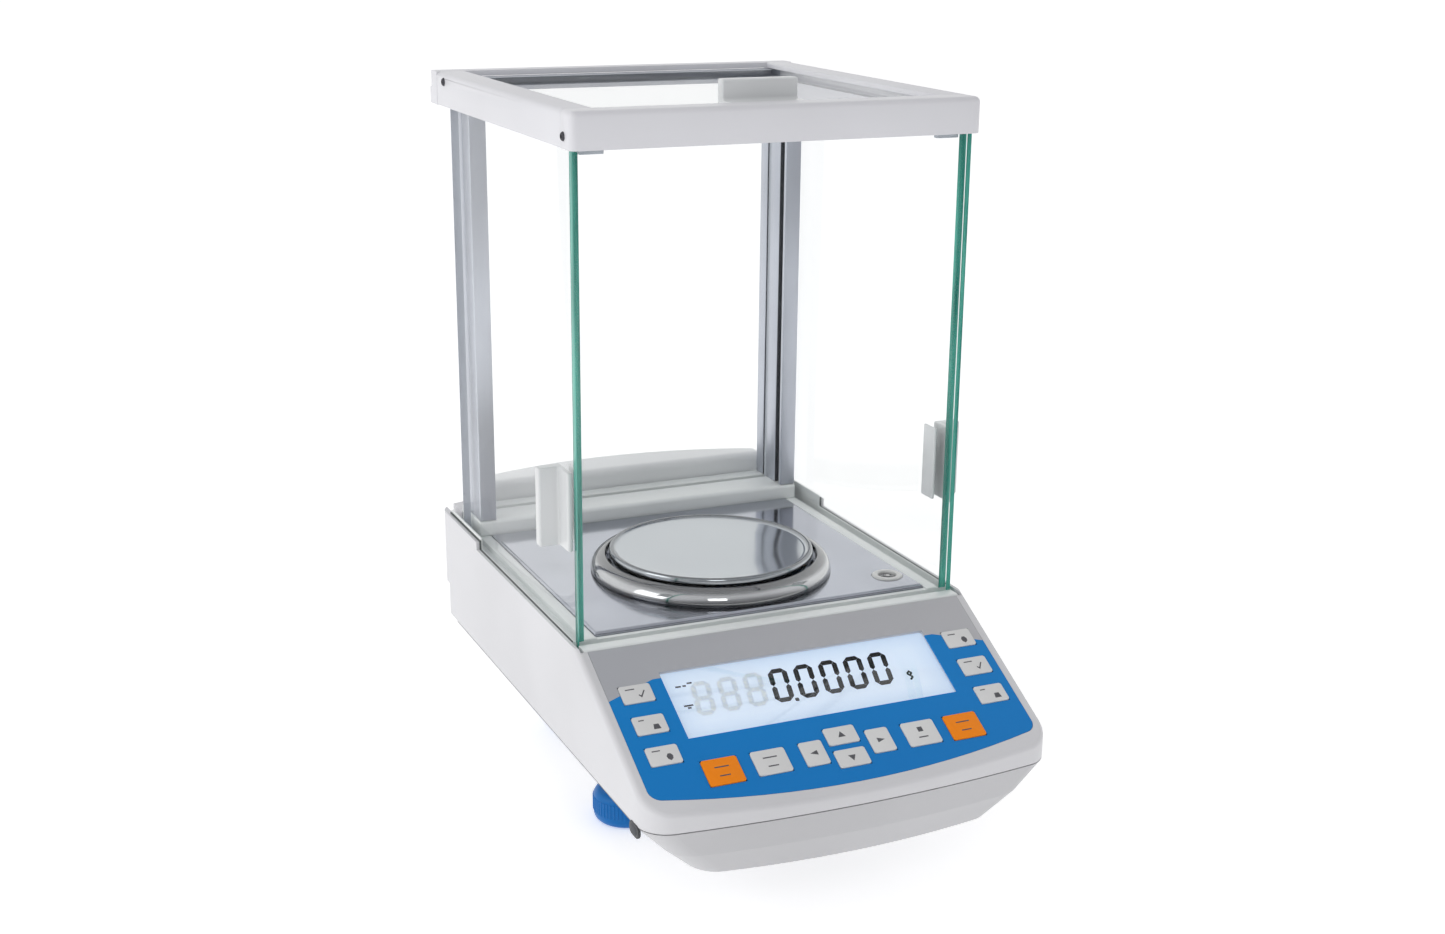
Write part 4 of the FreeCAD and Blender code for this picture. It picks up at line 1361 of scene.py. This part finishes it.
    def digit(self, lit: str, x: float, y: float = 0.0, scale: float = 1.0,
              weight: float = 1.0) -> list[list[Point]]:
        """One slanted digit on the display.

        Args:
            lit: which of its strokes are on.
            x: its left edge in the panel's frame.
            y: how far it stands above the reading's top.
            scale: its size against the reading's.
            weight: how heavy its strokes are.

        Returns:
            One outline per stroke.
        """
        tall = self.digit_size[1]
        return [[(x + scale * (px + self.slant * (py + tall)), y - self.digit_top + scale * py)
                 for px, py in bar] for bar in self.bars(lit, weight)]

    def digits(self) -> None:
        """The lit reading, the faint unlit cells beside it, and the small signs."""
        reading = []
        for i in range(5):
            reading += self.digit("abcdef", self.digit_left + i * self.digit_pitch)
        dot = (self.digit_left + self.digit_pitch + self.dot_offset[0],
               self.dot_offset[1] - self.digit_top - self.digit_size[1])
        reading.append(rounded_outline(self.dot_half, self.dot_half, 0.5 * MM, 4, dot))
        reading += self.digit("abcdfg", *self.unit_place, self.unit_scale, self.unit_weight)
        reading += [millimetres(rectangle(x, y, width, self.sign_tall))
                    for x, y, width in self.signs]
        self.ink("display_reading", reading, Finish.DIGIT, self.film_top, "display_module")
        unlit = []
        for i in range(1, 4):
            unlit += self.digit("abcdefg", self.digit_left - i * self.digit_pitch)
        self.ink("display_unlit_cells", unlit, Finish.GHOST, self.film_top, "display_module")

    def key(self, node: str, mark: Mark) -> None:
        """One key cap with its printed mark.

        Args:
            node: the key's CAD node.
            mark: what is printed on it.
        """
        outline, middle, low, high = self.face(node)
        cap = settled(sheet_of(outline, low, high, self.slope.matrix()), node)
        finish = Finish.KEY_ORANGE if "tare" in node else Finish.KEY_GREY
        self.shop.piece(node + "_cap", bevelled(cap, self.key_round, 3), [node], [finish])
        outlines = [[(middle[0] + self.mark_grid * x, middle[1] + self.mark_grid * y)
                     for x, y in outline] for outline in mark.value]
        self.ink(node + "_print", outlines, Finish.PRINT, high, node)


# ---------------------------------------------------------------- feet


@dataclass
class Feet:
    """The four levelling feet, with ribs round their grips."""

    shop: Shop
    radius: float = 16.2 * MM
    rib_count: int = 54
    rib_radius: float = 0.5 * MM
    rib_low: float = 5.2 * MM
    rib_high: float = 12.4 * MM
    rib_sink: float = 0.2 * MM
    section: tuple[Point, ...] = (
        (0, 0), (12.8, 0), (14.2, 0.5), (15.4, 1.7), (16.0, 3.2), (16.2, 5.0), (16.2, 11.8),
        (15.9, 13.4), (15.0, 14.9), (13.8, 15.75), (12.6, 16.0), (7.0, 16.0), (6.6, 20.0),
        (4.0, 20.0), (4.0, 49.4), (3.4, 50.0), (0, 50.0))

    def build(self) -> None:
        """Build each foot and its ribs as one piece."""
        tree = self.rib_tree()
        for corner in ("front_left", "front_right", "rear_left", "rear_right"):
            name = "foot_" + corner
            low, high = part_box(name)
            centre = ((low.x + high.x) / 2, (low.y + high.y) / 2)
            body = smooth(settled(lathe(millimetres(self.section), centre, 108), name), 40)
            data = tree.grow(body, Count=self.rib_count, Ring_Radius=self.radius - self.rib_sink,
                             Rib_Radius=self.rib_radius, Rib_Length=self.rib_high - self.rib_low,
                             Centre=(*centre, (self.rib_low + self.rib_high) / 2),
                             Material=Finish.FOOT.material())
            self.shop.piece(name + "_knob", data, [name])

    @staticmethod
    def rib_tree() -> Growth:
        """A tree that stands round ribs on a circle and joins them to the foot.

        Returns:
            The tree, with the ribs' count, sizes, place and material as inputs.
        """
        tree = Growth("ribbed_grip", {
            "Count": "NodeSocketInt", "Ring Radius": "NodeSocketFloat",
            "Rib Radius": "NodeSocketFloat", "Rib Length": "NodeSocketFloat",
            "Centre": "NodeSocketVector", "Material": "NodeSocketMaterial"})
        circle = tree.node("GeometryNodeMeshCircle", None,
                           {"Vertices": tree.wired("Count"), "Radius": tree.wired("Ring Radius")})
        rib = tree.node("GeometryNodeMeshCylinder", None,
                        {"Vertices": 10, "Radius": tree.wired("Rib Radius"),
                         "Depth": tree.wired("Rib Length")})
        put = tree.node("GeometryNodeInstanceOnPoints", None, {"Points": circle, "Instance": rib})
        moved = tree.node("GeometryNodeTransform", None,
                          {"Geometry": put, "Translation": tree.wired("Centre")})
        joined = tree.node("GeometryNodeJoinGeometry", None, {"Geometry": tree.wired("Geometry")})
        tree.tree.links.new(moved.outputs[0], joined.inputs[0])
        tree.close(joined)
        return tree


# ---------------------------------------------------------------- everything else on the frame


class Rest(Enum):
    """The finish of every CAD node that stays as it is, by its slot."""

    housing_plastic = Finish.HOUSING
    rail_plastic = Finish.RAIL
    frame_grey = Finish.FRAME
    handle_grey = Finish.HANDLE
    overlay_blue = Finish.FILM
    key_grey = Finish.KEY_GREY
    key_orange = Finish.KEY_ORANGE
    display_clear = Finish.GLASS
    display_pale = Finish.DISPLAY
    circuit_board = Finish.BOARD
    shield_glass = Finish.GLASS
    column_aluminium = Finish.COLUMN
    stainless_floor = Finish.FLOOR
    stainless_pan = Finish.PAN
    chrome_ring = Finish.RING
    cell_aluminium = Finish.CELL
    magnet_steel = Finish.MAGNET
    weight_brass = Finish.BRASS
    screw_steel = Finish.STEEL
    dark_plastic = Finish.DARK
    black_plastic = Finish.BLACK
    socket_metal = Finish.SOCKET
    level_fluid = Finish.FLUID
    foot_blue = Finish.FOOT


# ---------------------------------------------------------------- studio


@dataclass(frozen=True)
class Softbox:
    """A square lamp that points at the balance."""

    name: str
    place: tuple[float, float, float]
    side: float
    power: float
    target: tuple[float, float, float] = (0.0, 0.0, 0.15)

    def build(self) -> None:
        """Build the lamp."""
        data = bpy.data.lights.new(self.name, "AREA")
        data.shape = "SQUARE"
        data.size = self.side
        data.energy = self.power
        lamp = bpy.data.objects.new(self.name, data)
        lamp.location = self.place
        ray = Vector(self.target) - Vector(self.place)
        lamp.rotation_euler = ray.to_track_quat("-Z", "Y").to_euler()
        bpy.context.scene.collection.objects.link(lamp)


@dataclass
class Studio:
    """The floor, the lights and the camera."""

    camera_place: tuple[float, float, float] = (-0.3621, -0.8125, 0.42785)
    pitch: float = math.radians(17.85)
    yaw: float = math.radians(24.23)
    roll: float = math.radians(0.58)
    lens: float = 48.0
    shift_up: float = 0.033
    sensor: float = 36.0
    near_clip: float = 0.01
    floor_half: float = 9.0
    floor_cloud: float = 0.8
    floor_tones: tuple[Colour, Colour] = ((0.90, 0.90, 0.90), (0.93, 0.93, 0.93))
    floor_glow: float = 0.45
    wall: tuple[tuple[float, Colour], ...] = (
        (0.0, (0.30, 0.30, 0.31)), (0.5, (0.72, 0.72, 0.74)), (1.0, (1.0, 1.0, 1.0)))
    overhead: Colour = (0.58, 0.58, 0.59)
    lamps: tuple[Softbox, ...] = (Softbox("key", (-1.9, -0.2, 1.1), 1.2, 6.5),
                                  Softbox("front", (-0.5, -1.7, 1.5), 0.6, 3.5))

    def build(self) -> None:
        """Build the studio."""
        self.floor()
        self.world()
        for lamp in self.lamps:
            lamp.build()
        self.camera()

    def floor(self) -> None:
        """A plain pale floor."""
        half = self.floor_half
        mesh = bpy.data.meshes.new("floor")
        corners = rectangle(-half, -half, 2 * half, 2 * half)
        mesh.from_pydata([(x, y, 0) for x, y in corners], [], [(0, 1, 2, 3)])
        floor = bpy.data.objects.new("floor", mesh)
        bpy.context.scene.collection.objects.link(floor)
        shader = Shader("floor_paper")
        colour = shader.mix(shader.noise(self.floor_cloud, 2.0), *self.floor_tones)
        shader.surface(Base_Color=colour, Roughness=0.9, Emission_Color=colour,
                       Emission_Strength=self.floor_glow)
        mesh.materials.append(shader.material)

    def world(self) -> None:
        """Soft light from all round, brighter overhead than at the horizon."""
        world = bpy.data.worlds.new("studio")
        world.use_nodes = True
        bpy.context.scene.world = world
        graph = Graph(world.node_tree)
        background = world.node_tree.nodes["Background"]
        coordinate = graph.node("ShaderNodeTexCoord")
        split = graph.node("ShaderNodeSeparateXYZ", None, {0: coordinate.outputs["Generated"]})
        ahead = Value(graph, split.outputs["Y"])
        height = Value(graph, split.outputs["Z"])
        upward = height.stretched(0.45, 0.95)
        room = (ahead + 0.6 * height).stretched(-0.5, 0.2)
        wall = graph.node("ShaderNodeValToRGB", {"stops": self.wall}, {0: room})
        sky = graph.node("ShaderNodeMix", {"data_type": "RGBA"})
        graph.feed(sky.inputs[0], upward)
        graph.feed(sky.inputs[6], wall)
        graph.feed(sky.inputs[7], self.overhead)
        graph.feed(background.inputs["Color"], sky.outputs[2])
        background.inputs["Strength"].default_value = 1.0

    def camera(self) -> None:
        """The camera."""
        p, y, r = self.pitch, self.yaw, self.roll
        ahead = Vector((math.sin(y) * math.cos(p), math.cos(y) * math.cos(p), -math.sin(p)))
        right = Vector((math.cos(y), -math.sin(y), 0))
        up = right.cross(ahead)
        side = math.cos(r) * right + math.sin(r) * up
        head = -math.sin(r) * right + math.cos(r) * up
        turn = Matrix((side, head, -ahead)).transposed().to_4x4()
        data = bpy.data.cameras.new("camera")
        data.lens = self.lens
        data.sensor_width = self.sensor
        data.shift_y = self.shift_up
        data.clip_start = self.near_clip
        camera = bpy.data.objects.new("camera", data)
        camera.matrix_world = Matrix.Translation(self.camera_place) @ turn
        bpy.context.scene.collection.objects.link(camera)
        bpy.context.scene.camera = camera


def main() -> None:
    """Build the studio and every sub-assembly."""
    logging.basicConfig(level=logging.INFO, format="%(name)s: %(message)s")
    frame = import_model()
    scene = bpy.context.scene
    scene.view_settings.view_transform = "Standard"
    shop = Shop(frame)
    for node, slot in shop.slots.items():
        shop.paint(node, Rest[slot].value)
    Studio().build()
    for maker in (Housing, DraftShield, WeighingUnit, ControlPanel, Feet):
        maker(shop).build()


if __name__ == "__main__":
    main()
